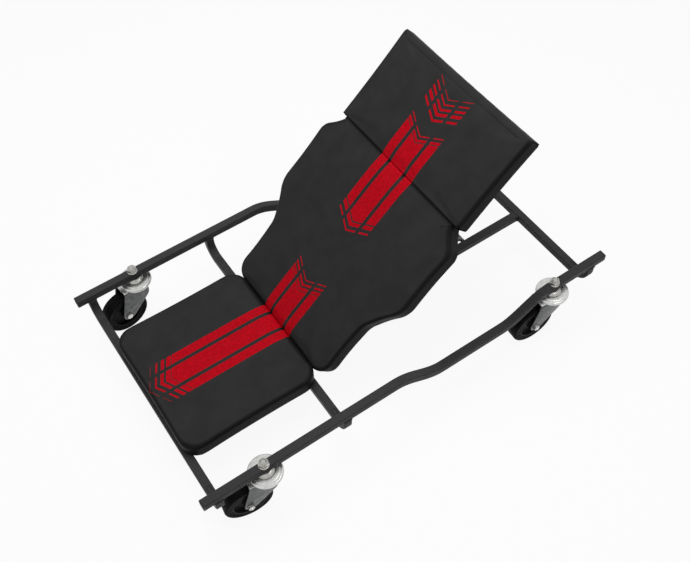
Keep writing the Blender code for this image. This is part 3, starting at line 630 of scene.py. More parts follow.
def rail_path(y):
    top = rail_high.z - TUBE / 2
    path = [Vector((rail_low.x, y, top))]
    for start, sign in ((DIP_START_X, 1), (DIP_START_X + DIP_BEND + DIP_FLAT, -1)):
        for k in range(DIP_STEPS + 1):
            share = k / DIP_STEPS
            ease = (1 - sign * math.cos(math.pi * share)) / 2
            path.append(Vector((start + DIP_BEND * share, y, top - dip_depth * ease)))
    return path + [Vector((rail_high.x, y, top))]


for name, side in SIDES.items():
    mesh = tube_along(rail_path(side * RAIL_Y))
    piece(f"rail_tube_{name}", mesh, powder_coat, "frame", "frame_paint", f"side_rail_{name}")
print("rail dips by", round(dip_depth * 1000, 1), "mm")

# %% [markdown]
# Three cross tubes hang under the rails as wide Us, two spine rails tie them under the backrest,
# and two straight tubes carry the backrest's boards.

# %% Cross tubes, spine rails and backrest tubes
def cross_path(node):
    low, high = local_box(node)
    x = (low.x + high.x) / 2
    floor = low.z + TUBE / 2
    corners = [(RAIL_Y, high.z), (RAIL_Y, floor), (-RAIL_Y, floor), (-RAIL_Y, high.z)]
    path = arc_path([Vector((x, *corner)) for corner in corners], CROSS_BEND, BEND_STEPS)
    before, after = path[:BEND_STEPS + 2], path[BEND_STEPS + 2:]
    run = (after[0] - before[-1]).normalized()
    steps = [run * DENT_RUN * k / DENT_STEPS for k in range(1, DENT_STEPS + 1)]
    flat = [before[-1] + step for step in steps] + [after[0] - step for step in reversed(steps)]
    return before + flat + after


def bend_centres(node):
    """The centre of each bend of a cross tube, with the side that it is on."""
    height = local_box(node)[0].z + TUBE / 2 + CROSS_BEND
    middle = box_middle(node).x
    return [(Vector((middle, side * (RAIL_Y - CROSS_BEND), height)), side) for side in SIDES.values()]


def straight_path(node, place=AT_REST):
    low, high = local_box(node, place)
    middle = (low + high) / 2
    return [place @ Vector((x, middle.y, middle.z)) for x in (low.x, high.x)]


for name in CROSS_TUBES:
    mesh = tube_along(cross_path(f"{name}_cross_tube"), bend_centres(f"{name}_cross_tube"))
    piece(f"cross_bend_{name}", mesh, powder_coat, "frame", "frame_paint", f"{name}_cross_tube")
for name in SIDES:
    mesh = tube_along(straight_path(f"spine_rail_{name}"))
    piece(f"spine_tube_{name}", mesh, powder_coat, "frame", "frame_paint", f"spine_rail_{name}")
    mesh = tube_along(straight_path(f"back_frame_{name}", back_place))
    piece(f"back_tube_{name}", mesh, powder_coat, "backrest", "frame_paint", f"back_frame_{name}")

# %% [markdown]
# ## Weld beads
# Where one tube meets another, a weld runs round the joint: a bead with a ripple for each step of
# the torch. It is a round section swept round the joint, whose radius swells and shrinks along it.
# The spine rails are welded at their sides and below, so that the backrest can lie flat on them.

# %% Beads round the joints
BEAD = 1.5 * MM
RIPPLE = 2.6 * MM
RIPPLE_POINTS = 5
SWELL = 0.16
BEAD_SIDES = 8


def weld_bead_tree():
    tree, inputs = new_tree("weld_bead", ["Bead radius", "Ripple length"])
    path = add(tree, "GeometryNodeMeshToCurve", {"Mesh": inputs["Geometry"]}).outputs[0]
    ripple = inputs["Ripple length"]
    spacing = add(tree, MATH, {0: ripple, 1: RIPPLE_POINTS}, operation="DIVIDE").outputs[0]
    spaced = {"Curve": path, "Length": spacing}
    fine = add(tree, "GeometryNodeResampleCurve", spaced, mode="LENGTH").outputs[0]
    run = add(tree, "GeometryNodeSplineParameter").outputs["Length"]
    turns = add(tree, MATH, {0: run, 1: ripple}, operation="DIVIDE").outputs[0]
    phase = add(tree, MATH, {0: turns, 1: math.tau}, operation="MULTIPLY").outputs[0]
    wave = add(tree, MATH, {0: phase}, operation="SINE").outputs[0]
    swell = add(tree, MATH, {0: wave, 1: SWELL, 2: 1.0}, operation="MULTIPLY_ADD").outputs[0]
    section = {"Radius": inputs["Bead radius"], "Resolution": BEAD_SIDES}
    circle = add(tree, "GeometryNodeCurvePrimitiveCircle", section).outputs[0]
    sweep = {"Curve": fine, "Profile Curve": circle, "Scale": swell, "Fill Caps": True}
    close_tree(tree, inputs, add(tree, "GeometryNodeCurveToMesh", sweep).outputs[0])
    return tree


weld_bead = weld_bead_tree()


def bead(path, closed):
    sizes = {"Bead radius": BEAD, "Ripple length": RIPPLE, "Finish": powder_coat}
    return grown(wire(path, closed=closed), weld_bead, sizes)


half = TUBE / 2
clear = half - 2.5 * BEAD
cradle = [(-half, clear), (-half, -half), (half, -half), (half, clear)]
beads = []
for name in CROSS_TUBES:
    for side in SIDES.values():
        joint = Vector((box_middle(f"{name}_cross_tube").x, side * RAIL_Y, RAIL_BASE_Z))
        beads.append(bead([joint + Vector((a, b, 0)) for a, b in rounded_square(half, TUBE_CORNER, 4)], True))
for name in SIDES:
    for end in straight_path(f"spine_rail_{name}"):
        corners = [end + Vector((0, a, b)) for a, b in cradle]
        beads.append(bead(arc_path(corners, TUBE_CORNER, 4), False))
piece("weld_beads", together(beads), powder_coat, "frame", "frame_paint")
print("weld beads:", len(beads))

# %% [markdown]
# ## End plugs
# A push-in plug closes each end of a rail. Its head is a low rounded cushion as wide as the tube,
# lofted from a few rounded squares, and its spigot goes into the tube.

# %% Plugs in the rail ends
PLUG_FIT = 0.3 * MM
PLUG_DOME = ((1, 0.55), (0.97, 0.8), (0.88, 0.94), (0.72, 1))


def lofted(rings):
    """A closed solid through rings of points that match one to one."""
    bm = bmesh.new()
    loops = [[bm.verts.new(point) for point in ring] for ring in rings]
    for ring, following in zip(loops, loops[1:]):
        for k in range(len(ring)):
            j = (k + 1) % len(ring)
            bm.faces.new((ring[k], ring[j], following[j], following[k]))
    bm.faces.new(loops[0])
    bm.faces.new(loops[-1])
    return mesh_of(bm)


def plug_ring(half, depth):
    corner = TUBE_CORNER * half / (TUBE / 2)
    return [Vector((depth, a, b)) for a, b in rounded_square(half, corner, 6)]


def plug():
    low, high = local_box("rail_plug_front_left")
    half = TUBE / 2
    bore = half - TUBE_WALL - PLUG_FIT
    head = rail_low.x - low.x
    rings = [(bore, high.x - rail_low.x), (bore, 0), (half, 0)]
    rings += [(width * half, -height * head) for width, height in PLUG_DOME]
    return lofted([plug_ring(size, depth) for size, depth in rings])


plug_mesh = plug()
for end, facing in (("front", 1), ("rear", -1)):
    for name, side in SIDES.items():
        turn = Matrix.Rotation(0 if facing > 0 else math.pi, 4, "Z")
        spot = Matrix.Translation((facing * rail_low.x, side * RAIL_Y, RAIL_BASE_Z + TUBE / 2))
        mesh = placed(plug_mesh, spot, turn)
        piece(f"tube_plug_{end}_{name}", mesh, plug_polythene, "frame", "plug", f"rail_plug_{end}_{name}")

# %% [markdown]
# ## Upholstery
# Each pad is a slab of foam on a board, with vinyl pulled over it and stapled underneath. A neat
# cover is lofted round the solid's own outline: hem, side, rolled edge and flat top. A voxel copy of
# it is blown up a little by a cloth simulation, as foam pushes against vinyl, and the cover takes
# over how far each point was pushed. Pleats at the corners and pulls at the staples come last.

# %% Outlines of the pads
COVER_STEP = 3.2 * MM


def widest_ring(node, place):
    """The points of a pad's widest level, anticlockwise, in the pad's own plane."""
    inverse = place.inverted()
    levels = {}
    for vertex in cad[node].data.vertices:
        point = inverse @ vertex.co
        levels.setdefault(round(point.z, 4), {})[(round(point.x, 5), round(point.y, 5))] = point.xy
    ring = max(levels.values(), key=lambda level: max(key[1] for key in level) + len(level) * 1e-6).values()
    centre = sum(ring, Vector((0, 0))) / len(ring)
    return sorted(ring, key=lambda point: math.atan2(point.y - centre.y, point.x - centre.x))


def even_outline(points, step):
    """The points joined by a smooth closed curve and spaced evenly along it."""
    dense = []
    count = len(points)
    for k in range(count):
        a, b, c, d = (points[(k + j) % count] for j in (-1, 0, 1, 2))
        for share in (0, 0.2, 0.4, 0.6, 0.8):
            bend = (2 * a - 5 * b + 4 * c - d) * share ** 2 + (3 * b - a - 3 * c + d) * share ** 3
            dense.append(b + ((c - a) * share + bend) / 2)
    lengths = [0.0]
    for point, following in zip(dense, dense[1:] + dense[:1]):
        lengths.append(lengths[-1] + (following - point).length)
    samples = round(lengths[-1] / step)
    outline = []
    k = 0
    for n in range(samples):
        target = lengths[-1] * n / samples
        while lengths[k + 1] < target:
            k += 1
        share = (target - lengths[k]) / (lengths[k + 1] - lengths[k])
        outline.append(dense[k].lerp(dense[(k + 1) % len(dense)], share))
    return outline


def inward(outline):
    """The inward normal at each point of an anticlockwise outline."""
    spans = zip(outline[-1:] + outline[:-1], outline[1:] + outline[:1])
    runs = [(after - before).normalized() for before, after in spans]
    return [Vector((-run.y, run.x)) for run in runs]


def drawn_in(outline):
    """A function that moves a point of the outline in by an amount, as if the outline shrank."""
    corners = [Vector((pick(p.x for p in outline), pick(p.y for p in outline))) for pick in (min, max)]
    middle = (corners[0] + corners[1]) / 2
    half = (corners[1] - corners[0]) / 2

    def draw(point, amount):
        away = point - middle
        return point - Vector((amount * away.x / half.x, amount * away.y / half.y))

    return draw


def evened(values, passes):
    """A closed row of numbers with its steps smoothed out."""
    for _ in range(passes):
        ring = zip(values[-1:] + values[:-1], values, values[1:] + values[:1])
        values = [(before + 2 * value + after) / 4 for before, value, after in ring]
    return values


# %% [markdown]
# The edge rolls over with a radius of 9 mm. Where two pads meet, each bulges until its edge is straight
# again, so that the pads close up against each other. The far edge of the head pad is soft, with a
# broad roll and a crease before it. The rings are drawn in towards the middle by shrinking the
# outline, which can't cross itself at a sharp corner.

# %% The neat cover
HEM = 22 * MM
HEM_DROP = 0.15 * MM
HEM_INSIDE = 1 * MM
HEM_TURN = ((3 * MM, 0), (1.3 * MM, 0.25 * MM), (0.5 * MM, 0.9 * MM))
SIDE_FOOT = 2 * MM
EDGE_ROLL = 9 * MM
CREASE = 4 * MM
FAR_CREASE = 0.9 * MM
SHADED_ROLL_STEPS = 5
ROLL_STEPS = 8
SIDE_STEPS = 7
HEM_STEPS = 3 + len(HEM_TURN)
TOP_RINGS = 30
MEETING_DEPTH = 5 * MM
MEETING_FACE = 0.95
ROLL_PASSES = 12
BULGE_PASSES = 3


def edge_forms(outline, ends):
    """Roll, bulge and crease at each point; ends holds a roll, nip and crease for an edge facing +X or -X."""
    rolls, bulges, creases = [], [], []
    for point, normal in zip(outline, inward(outline)):
        roll, bulge, crease = EDGE_ROLL, 0.0, 0.0
        for facing, (end_roll, nip, end_crease) in ends.items():
            reach = max(facing * (other.x - point.x) for other in outline)
            if reach < MEETING_DEPTH and -normal.x * facing > MEETING_FACE:
                roll, bulge, crease = end_roll, reach + nip, end_crease
        rolls.append(roll)
        bulges.append(bulge)
        creases.append(crease)
    return list(zip(evened(rolls, ROLL_PASSES), evened(bulges, BULGE_PASSES), evened(creases, ROLL_PASSES)))


def cover_profile(roll, bulge, crease, under, top):
    """(inset, height) from the hem's inner edge, under the board, up the side and over the edge."""
    low = under - HEM_DROP
    shoulder = top - roll
    foot = low + SIDE_FOOT
    profile = [(HEM, under + HEM_INSIDE), (HEM, low), (HEM / 2, low)]
    profile += [(inset, low + height) for inset, height in HEM_TURN]
    for k in range(1, SIDE_STEPS + 1):
        share = k / SIDE_STEPS
        profile.append((-bulge * share, foot + (shoulder - foot) * share))
    for k in range(1, ROLL_STEPS + 1):
        turn = math.pi / 2 * k / ROLL_STEPS
        profile.append((roll - (roll + bulge) * math.cos(turn), shoulder + roll * math.sin(turn)))
    profile += [(roll + CREASE / 2, top - crease), (roll + CREASE, top)]
    return profile


def cover(outline, forms, under, top):
    """A closed cover: hem, side, rolled edge, flat top and a face inside the board."""
    draw = drawn_in(outline)
    columns = []
    for point, form in zip(outline, forms):
        steps = cover_profile(*form, under, top)
        columns.append([Vector((*draw(point, amount), height)) for amount, height in steps])
    rings = [list(ring) for ring in zip(*columns)]
    edge = rings[-1]
    centre = sum(edge, Vector()) / len(edge)
    for k in range(1, TOP_RINGS):
        edge = evened(edge, 4)
        rings.append([point.lerp(centre, k / TOP_RINGS) for point in edge])
    mesh = lofted(rings)
    # The attribute holds the share of painted side shade: full under the board, up the side and round the
    # first steps of the roll, fading out before the top, and none on the head pad's far roll.
    shares = mesh.attributes.new(SIDE_SHADE_ATTRIBUTE, "FLOAT", "POINT").data
    roll_start = HEM_STEPS + SIDE_STEPS
    for index, share in enumerate(shares):
        ring, k = divmod(index, len(outline))
        rolled = (ring + 1 - roll_start - SHADED_ROLL_STEPS) / (ROLL_STEPS - SHADED_ROLL_STEPS)
        plain = 1 - min(1.0, forms[k][2] / FAR_CREASE)
        share.value = plain * (1 - min(1.0, max(0.0, rolled)))
    return mesh


# %% [markdown]
# The simulation runs on a coarse copy. Its lower edge is pinned where the vinyl is stapled, pressure
# from inside swells the rest, and the push levels off at a cap, so the top stays nearly flat.

# %% Foam pressing on vinyl
VOXEL = 5.5 * MM
CROWN = 4 * MM
FRAMES = 20
PINNED = 12 * MM
VINYL_MASS = 0.35
PRESSURE = 4
NEARBY = 0.2 * MM
RELAXING = 10


def foam_push(mesh, under):
    """How far a cloth simulation pushes each point of a cover, levelled off at the crown."""
    blank = carrier_of(mesh.copy())
    remesh = blank.modifiers.new("voxels", "REMESH")
    remesh.mode = "VOXEL"
    remesh.voxel_size = VOXEL
    skin = carrier_of(baked(blank))
    start = [vertex.co.copy() for vertex in skin.data.vertices]
    faces = [tuple(face.vertices) for face in skin.data.polygons]
    pinned = skin.vertex_groups.new(name="stapled")
    pinned.add([k for k, point in enumerate(start) if point.z < under + PINNED], 1.0, "REPLACE")
    cloth = skin.modifiers.new("vinyl", "CLOTH")
    cloth.settings.quality = 5
    cloth.settings.mass = VINYL_MASS
    cloth.settings.use_pressure = True
    cloth.settings.uniform_pressure_force = PRESSURE
    cloth.settings.vertex_group_mass = pinned.name
    cloth.settings.effector_weights.gravity = 0
    cloth.point_cache.frame_start = 1
    cloth.point_cache.frame_end = FRAMES
    for step in range(1, FRAMES + 1):
        bpy.context.scene.frame_set(step)
    swollen = baked(skin)
    bpy.context.scene.frame_set(1)
    moves = [vertex.co - origin for vertex, origin in zip(swollen.vertices, start)]
    print(f"  furthest push {max(move.length for move in moves) * 1000:.1f} mm on {len(start)} points")
    nearest = BVHTree.FromPolygons(start, faces)
    pushes = []
    for vertex in mesh.vertices:
        corners = faces[nearest.find_nearest(vertex.co)[2]]
        weights = [1 / ((start[k] - vertex.co).length + NEARBY) for k in corners]
        move = sum((moves[k] * weight for k, weight in zip(corners, weights)), Vector()) / sum(weights)
        pushes.append(move * (CROWN * math.tanh(move.length / CROWN) / max(move.length, 1e-9)))
    return pushes


def relaxed(mesh, pushes, passes):
    """The pushes averaged with those of the neighbouring points."""
    neighbours = [[] for _ in pushes]
    for edge in mesh.edges:
        first, second = edge.vertices
        neighbours[first].append(second)
        neighbours[second].append(first)
    for _ in range(passes):
        pushes = [
            push.lerp(sum((pushes[j] for j in near), Vector()) / len(near), 0.5)
            for push, near in zip(pushes, neighbours)
        ]
    return pushes


def pushed_out(mesh, under, top):
    """The cover with its top and its edges pushed up by the foam."""
    held = under + PINNED
    for vertex, push in zip(mesh.vertices, relaxed(mesh, foam_push(mesh, under), RELAXING)):
        share = min(1.0, max(0.0, (vertex.co.z - held) / (top - held)))
        vertex.co.z += max(0.0, push.z) * share
    return mesh


# %% [markdown]
# Vinyl has to go somewhere at a corner, so it gathers in small pleats low on the side. Along the
# straights each staple pulls the lower edge in a little. Both are moves of a millimetre or less.

# %% Pleats and staple pulls
CORNER_SPAN = 3
FULL_BEND = 0.25
PLEAT = 8 * MM
PLEAT_DEPTH = 0.8 * MM
STAPLE_PITCH = 32 * MM
PULL_DEPTH = 0.5 * MM


def gathered(mesh, outline, under, top):
    """Pleats in the corners and pulls along the straights, fading out towards the top."""
    count = len(outline)
    step = (outline[1] - outline[0]).length
    bends = []
    for k in range(count):
        ahead = outline[(k + CORNER_SPAN) % count] - outline[k]
        behind = outline[k] - outline[k - CORNER_SPAN]
        bends.append(min(1.0, abs(behind.angle_signed(ahead)) / FULL_BEND))
    bends = evened(bends, 4)
    normals = inward(outline)
    side = range(count * HEM_STEPS, count * (HEM_STEPS + SIDE_STEPS + ROLL_STEPS))
    for index in side:
        vertex = mesh.vertices[index]
        k = index % count
        lift = min(1.0, (vertex.co.z - under) / (top - under))
        run = k * step
        fade = math.sin(math.pi * min(1.0, lift + 0.1)) ** 2
        folds = (1 - math.cos(math.tau * run / PLEAT)) / 2
        tugs = (1 + math.cos(math.tau * run / STAPLE_PITCH)) / 2
        pleat = PLEAT_DEPTH * bends[k] * folds * fade
        pull = PULL_DEPTH * (1 - bends[k]) * tugs * (1 - lift) ** 2
        move = normals[k] * (pleat + pull)
        vertex.co += Vector((move.x, move.y, 0))
    return mesh


# %% Make the three pads
HINGE_EDGE = (15 * MM, 0.6 * MM, 0.0)
SEAM_EDGE = (4 * MM, 0.9 * MM, 0.0)
FAR_EDGE = (14 * MM, 0.0, FAR_CREASE)
PADS = {
    "seat": (AT_REST, "frame", seat_vinyl, {1: HINGE_EDGE}),
    "back": (back_place, "backrest", back_vinyl, {-1: HINGE_EDGE, 1: SEAM_EDGE}),
    "head": (back_place, "backrest", back_vinyl, {-1: SEAM_EDGE, 1: FAR_EDGE}),
}


def upholster(name, place, body, finish, ends):
    """One pad's cover; returns the outline that its staples follow and the board's underside."""
    outline = even_outline(widest_ring(f"{name}_pad", place), COVER_STEP)
    under = local_box(f"{name}_board", place)[0].z
    top = local_box(f"{name}_pad", place)[1].z - CROWN
    mesh = cover(outline, edge_forms(outline, ends), under, top)
    mesh = pushed_out(mesh, under, top)
    mesh = gathered(mesh, outline, under, top)
    mesh.transform(place)
    made = piece(f"{name}_cover", mesh, finish, body, "vinyl", f"{name}_pad")
    print(f"{name} cover: {len(mesh.polygons)} faces, {len(outline)} points round")
    return outline, under


hems = {name: upholster(name, *how) for name, how in PADS.items()}
for name in PADS:
    coat(cad[f"{name}_board"].data, seat_plywood if name == "seat" else back_plywood)

# %% [markdown]
# ## Staples
# Under each board the hem is held by a row of wire staples. The tree spaces them evenly along the
# hem and turns each one to follow it. A staple is a short wire whose ends dip into the board. None
# is set where the backrest lies on the spine rails.

# %% Staples along the hems
STAPLE_LENGTH = 11 * MM
STAPLE_WIRE = 0.55 * MM
STAPLE_INSET = 12 * MM
STAPLE_LEG = 1.2 * MM
STAPLE_BEND = 0.7 * MM
STAPLE_SUNK = 0.75
RAIL_MARGIN = 1 * MM


def bar_along(points, radius, sides):
    """A round bar along a path, from a curve with a round bevel."""
    curve = bpy.data.curves.new("bar", "CURVE")
    curve.dimensions = "3D"
    curve.bevel_depth = radius
    curve.bevel_resolution = max(0, sides // 4 - 1)
    curve.use_fill_caps = True
    spline = curve.splines.new("POLY")
    spline.points.add(len(points) - 1)
    for slot, point in zip(spline.points, points):
        slot.co = (*point, 1)
    return together([baked(carrier_of(curve))])


def staple_row_tree():
    tree, inputs = new_tree("staple_row", ["Spacing", "Rail Y", "Rail half width"], ["Staple"])
    path = add(tree, "GeometryNodeMeshToCurve", {"Mesh": inputs["Geometry"]}).outputs[0]
    spaced = {"Curve": path, "Length": inputs["Spacing"]}
    dots = add(tree, "GeometryNodeResampleCurve", spaced, mode="LENGTH").outputs[0]
    tangent = add(tree, "GeometryNodeInputTangent").outputs[0]
    follow = {"axis": "X", "pivot_axis": "Z"}
    turn = add(tree, "FunctionNodeAlignRotationToVector", {"Vector": tangent}, **follow).outputs[0]
    shape = add(tree, "GeometryNodeObjectInfo", {"Object": inputs["Staple"]}).outputs["Geometry"]
    spot = add(tree, "GeometryNodeInputPosition").outputs[0]
    y = add(tree, "ShaderNodeSeparateXYZ", {"Vector": spot}).outputs["Y"]
    aside = add(tree, MATH, {0: y}, operation="ABSOLUTE").outputs[0]
    rail = {0: aside, 1: inputs["Rail Y"], 2: inputs["Rail half width"]}
    over_rail = add(tree, MATH, rail, operation="COMPARE").outputs[0]
    clear = add(tree, MATH, {0: 1.0, 1: over_rail}, operation="SUBTRACT").outputs[0]
    rows = {"Points": dots, "Selection": clear, "Instance": shape, "Rotation": turn}
    close_tree(tree, inputs, add(tree, "GeometryNodeInstanceOnPoints", rows).outputs[0])
    return tree


staple_row = staple_row_tree()
half = STAPLE_LENGTH / 2
legs = (-half, 0, STAPLE_LEG), (-half, 0, 0), (half, 0, 0), (half, 0, STAPLE_LEG)
staple_mesh = bar_along(arc_path([Vector(leg) for leg in legs], STAPLE_BEND, 3), STAPLE_WIRE, 8)
row = {"Spacing": STAPLE_PITCH, "Rail Y": box_middle("spine_rail_left").y, "Finish": zinc_plate,
       "Rail half width": (TUBE + STAPLE_LENGTH) / 2 + RAIL_MARGIN}
for name, (outline, under) in hems.items():
    place, body = PADS[name][:2]
    level = under - HEM_DROP + STAPLE_WIRE * STAPLE_SUNK
    draw = drawn_in(outline)
    path = [Vector((*draw(point, STAPLE_INSET), level)) for point in outline]
    staple = carrier_of(staple_mesh.copy())
    mesh = grown(wire(path, closed=True), staple_row, {**row, "Staple": staple}, staple)
    mesh.transform(place)
    piece(f"{name}_staples", mesh, zinc_plate, body, "zinc")
    print(f"{name} staples: {len(mesh.polygons)} faces")

# %% [markdown]
# ## Hinge
# Two folded clevises, welded to the middle cross tube, hold the backrest tubes on headed pins. A
# clevis is a channel of sheet steel cut to a round-nosed outline.

# %% Clevises and pins
HINGE_SHEET = 3 * MM
PIN_RADIUS = 4 * MM
GAP = 0.3 * MM
PIN_PLAY = 1.06
PIN_HEAD = 6 * MM
NOSE_ROUND = 0.98


def clevis():
    inner = TUBE / 2 + GAP
    outer = inner + HINGE_SHEET
    low, high = local_box("hinge_bracket_left", Matrix.Translation(hinge_at))
    base, nose, half = low.x, high.x, high.z
    front, back = nose + HINGE_SHEET, base - HINGE_SHEET
    plan = [(base, -outer), (front, -outer), (front, -inner), (base + HINGE_SHEET, -inner),
            (base + HINGE_SHEET, inner), (front, inner), (front, outer), (base, outer)]
    bend = half * NOSE_ROUND
    lug = rounded([(back, -half, GAP), (nose, -half, bend), (nose, half, bend), (back, half, GAP)], 12)
    side = placed(prism(lug, -2 * outer, 2 * outer), ON_EDGE)
    hole = placed(rod(PIN_RADIUS * PIN_PLAY, -2 * outer, 2 * outer, 32), Y_UP)
    channel = prism(plan, -2 * half, 2 * half)
    return eased(carved(channel, ("INTERSECT", side), ("DIFFERENCE", hole)), 0.5 * MM)


def headed_pin():
    end = local_box("hinge_pin_left")[1].y - local_box("back_frame_left")[1].y
    seat = TUBE / 2 + HINGE_SHEET + 2 * GAP
    head = end - (seat - TUBE / 2)
    dome = [(PIN_HEAD * math.cos(t), seat + head * math.sin(t)) for t in (0, 0.35, 0.7, 1.05, 1.35)]
    upper = [(PIN_RADIUS, 0), (PIN_RADIUS, seat), *dome, (0, seat + head)]
    return placed(lathe(lower_half(upper)[:-1] + upper[1:], 40), Y_UP)


clevis_mesh = clevis()
pin_mesh = headed_pin()
for name in SIDES:
    spot = Matrix.Translation(hinge_at + Vector((0, box_middle(f"back_frame_{name}").y, 0)))
    bracket = f"hinge_bracket_{name}"
    piece(f"hinge_clevis_{name}", placed(clevis_mesh, spot), powder_coat, "frame", "frame_paint", bracket)
    piece(f"hinge_rivet_{name}", placed(pin_mesh, spot), zinc_plate, "frame", "zinc", f"hinge_pin_{name}")

# %% [markdown]
# ## Prop and racks
# A bail of round bar hangs in a strap under the back board. Its foot bar stands in one of a row of
# notches along two strips, which sets the backrest's angle.

# %% Bail, strap and racks
PROP_BAR = 5 * MM
PROP_LEG_Y = 33 * MM
PROP_BEND = 12 * MM
LEG_SHARE = 0.98
BAR_EDGE = 1 * MM
STRAP = 2 * MM
STRAP_PLAY = 0.4 * MM
NOTCH_PITCH = 28 * MM
NOTCH_DEPTH = 1 * MM
NOTCH_STEPS = 20


def prop_bail():
    """Legs and top bar in one bend. They are a hair thinner than the foot bar, which takes in their ends."""
    high = local_box("prop_stay", prop_place)[1]
    foot, tip = high.x - PROP_BAR, high.y
    corners = [(foot, PROP_LEG_Y, 0), (0, PROP_LEG_Y, 0), (0, -PROP_LEG_Y, 0), (foot, -PROP_LEG_Y, 0)]
    path = arc_path([Vector(corner) for corner in corners], PROP_BEND, 12)
    bail = bar_along(path, PROP_BAR * LEG_SHARE, 24)
    upper = [(PROP_BAR, tip - BAR_EDGE), (PROP_BAR - BAR_EDGE, tip), (0, tip)]
    bar = placed(lathe(lower_half(upper) + upper, 28), Matrix.Translation((foot, 0, 0)), Y_UP)
    return carved(bail, ("UNION", bar))


def prop_strap():
    low, high = local_box("prop_saddle", saddle_place)
    inner = PROP_BAR + STRAP_PLAY
    outer = inner + STRAP
    turns = [math.pi * k / 18 for k in range(19)]
    outline = [(high.x, high.z - STRAP), (high.x, high.z), (inner, high.z)]
    outline += [(inner * math.cos(turn), -inner * math.sin(turn)) for turn in turns]
    outline += [(-inner, high.z), (low.x, high.z), (low.x, high.z - STRAP), (-outer, high.z - STRAP)]
    outline += [(-outer * math.cos(turn), -outer * math.sin(turn)) for turn in turns]
    outline += [(outer, high.z - STRAP)]
    strip = placed(prism(outline, low.y, high.y), ON_EDGE)
    return placed(eased(strip, 0.4 * MM), saddle_place)


def notched_strip(node):
    low, high = local_box(node)
    outline = [(low.x, low.z), (high.x, low.z)]
    count = round((high.x - low.x) / NOTCH_PITCH) * NOTCH_STEPS
    for k in range(count, -1, -1):
        dip = NOTCH_DEPTH * (1 - math.cos(math.tau * k / NOTCH_STEPS)) / 2
        outline.append((low.x + NOTCH_PITCH * k / NOTCH_STEPS, high.z - dip))
    strip = prism(outline, -high.y, -low.y)
    return eased(placed(strip, ON_EDGE), 0.3 * MM)


piece("prop_bail", placed(prop_bail(), prop_place), shaded_zinc, "prop", "zinc", "prop_stay")
piece("prop_strap", prop_strap(), shaded_zinc, "backrest", "zinc", "prop_saddle")
for name in SIDES:
    mesh = notched_strip(f"notch_rack_{name}")
    piece(f"notched_strip_{name}", mesh, powder_coat, "frame", "frame_paint", f"notch_rack_{name}")

# %% [markdown]
# ## Castors
# A castor is the creeper's best piece of metalwork: a fork folded from one sheet, under a broad ring
# that holds the balls of the swivel, hung on a stem through the rail. The fork is a channel cut to
# the cheeks' outline. Ring, wheel, stem, nut and bolt are turned shapes.

# %% Castor sizes
first = CASTORS[0]
axle_local = castor_places[first].inverted() @ Vector(joints[f"roll_{first}"]["pos_m"])
TRAIL = -axle_local.x
WHEEL_R = axle_local.z
tyre_low, tyre_high = local_box(f"wheel_tyre_{first}", castor_places[first])
WHEEL_W = tyre_high.y - tyre_low.y
fork_high = local_box(f"castor_fork_{first}", castor_places[first])[1]
HEAD_R = fork_high.y
HEAD_TOP = fork_high.z
SHEET = 3 * MM
CHEEK_IN = WHEEL_W / 2 + 2 * MM
CHEEK_OUT = CHEEK_IN + SHEET
HEAD_H = 9 * MM
PLATE_Z = HEAD_TOP - HEAD_H - SHEET
AXLE_R = 4 * MM
STEM_R = 6 * MM
RACE_R = 19 * MM
RING_LIP = 2.2 * MM
AXLE_BOSS = 12.5 * MM
TAB_X = AXLE_BOSS / 2 - TRAIL
HEEL_X = 0.47 * HEAD_R
STEM_BORE = 1.07 * STEM_R
AXLE_BORE = 1.1 * AXLE_R
print(f"wheel {WHEEL_R * 2000:.0f} mm, trail {TRAIL * 1000:.0f} mm")


# %% The fork
def pressed_fork():
    fold = 2 * SHEET
    roof = PLATE_Z + SHEET
    shell, cavity = (
        [(half, foot, GAP), (half, top, bend), (-half, top, bend), (-half, foot, GAP)]
        for half, foot, top, bend in ((CHEEK_OUT, 0, roof, fold), (CHEEK_IN, -fold, PLATE_Z, SHEET))
    )
    across = Matrix.Rotation(math.pi / 2, 4, "Z") @ ON_EDGE
    reach = TRAIL + WHEEL_R
    channel = placed(prism(rounded(shell), -reach, reach), across)
    hollow = placed(prism(rounded(cavity), -2 * reach, 2 * reach), across)

    boss = AXLE_BOSS
    cheek = rounded([
        (TAB_X, roof + fold, GAP), (TAB_X, PLATE_Z, GAP), (-boss - TRAIL, WHEEL_R + boss / 3, boss / 2),
        (-boss - TRAIL, WHEEL_R - boss, boss * 0.9), (boss - TRAIL, WHEEL_R - boss, boss),
        (HEEL_X, 2 * WHEEL_R - 1.5 * boss, 2 * boss), (HEEL_X, roof + fold, GAP),
    ], 14)
    profile = placed(prism(cheek, -2 * HEAD_R, 2 * HEAD_R), ON_EDGE)
    axle_at = Matrix.Translation((-TRAIL, 0, WHEEL_R))
    axle_hole = placed(rod(AXLE_BORE, -HEAD_R, HEAD_R, 32), axle_at, Y_UP)
    sheet = carved(channel, ("DIFFERENCE", hollow), ("INTERSECT", profile), ("DIFFERENCE", axle_hole))
    return carved(eased(sheet, 0.6 * MM), ("DIFFERENCE", rod(STEM_BORE, 0, 2 * HEAD_TOP, 40)))


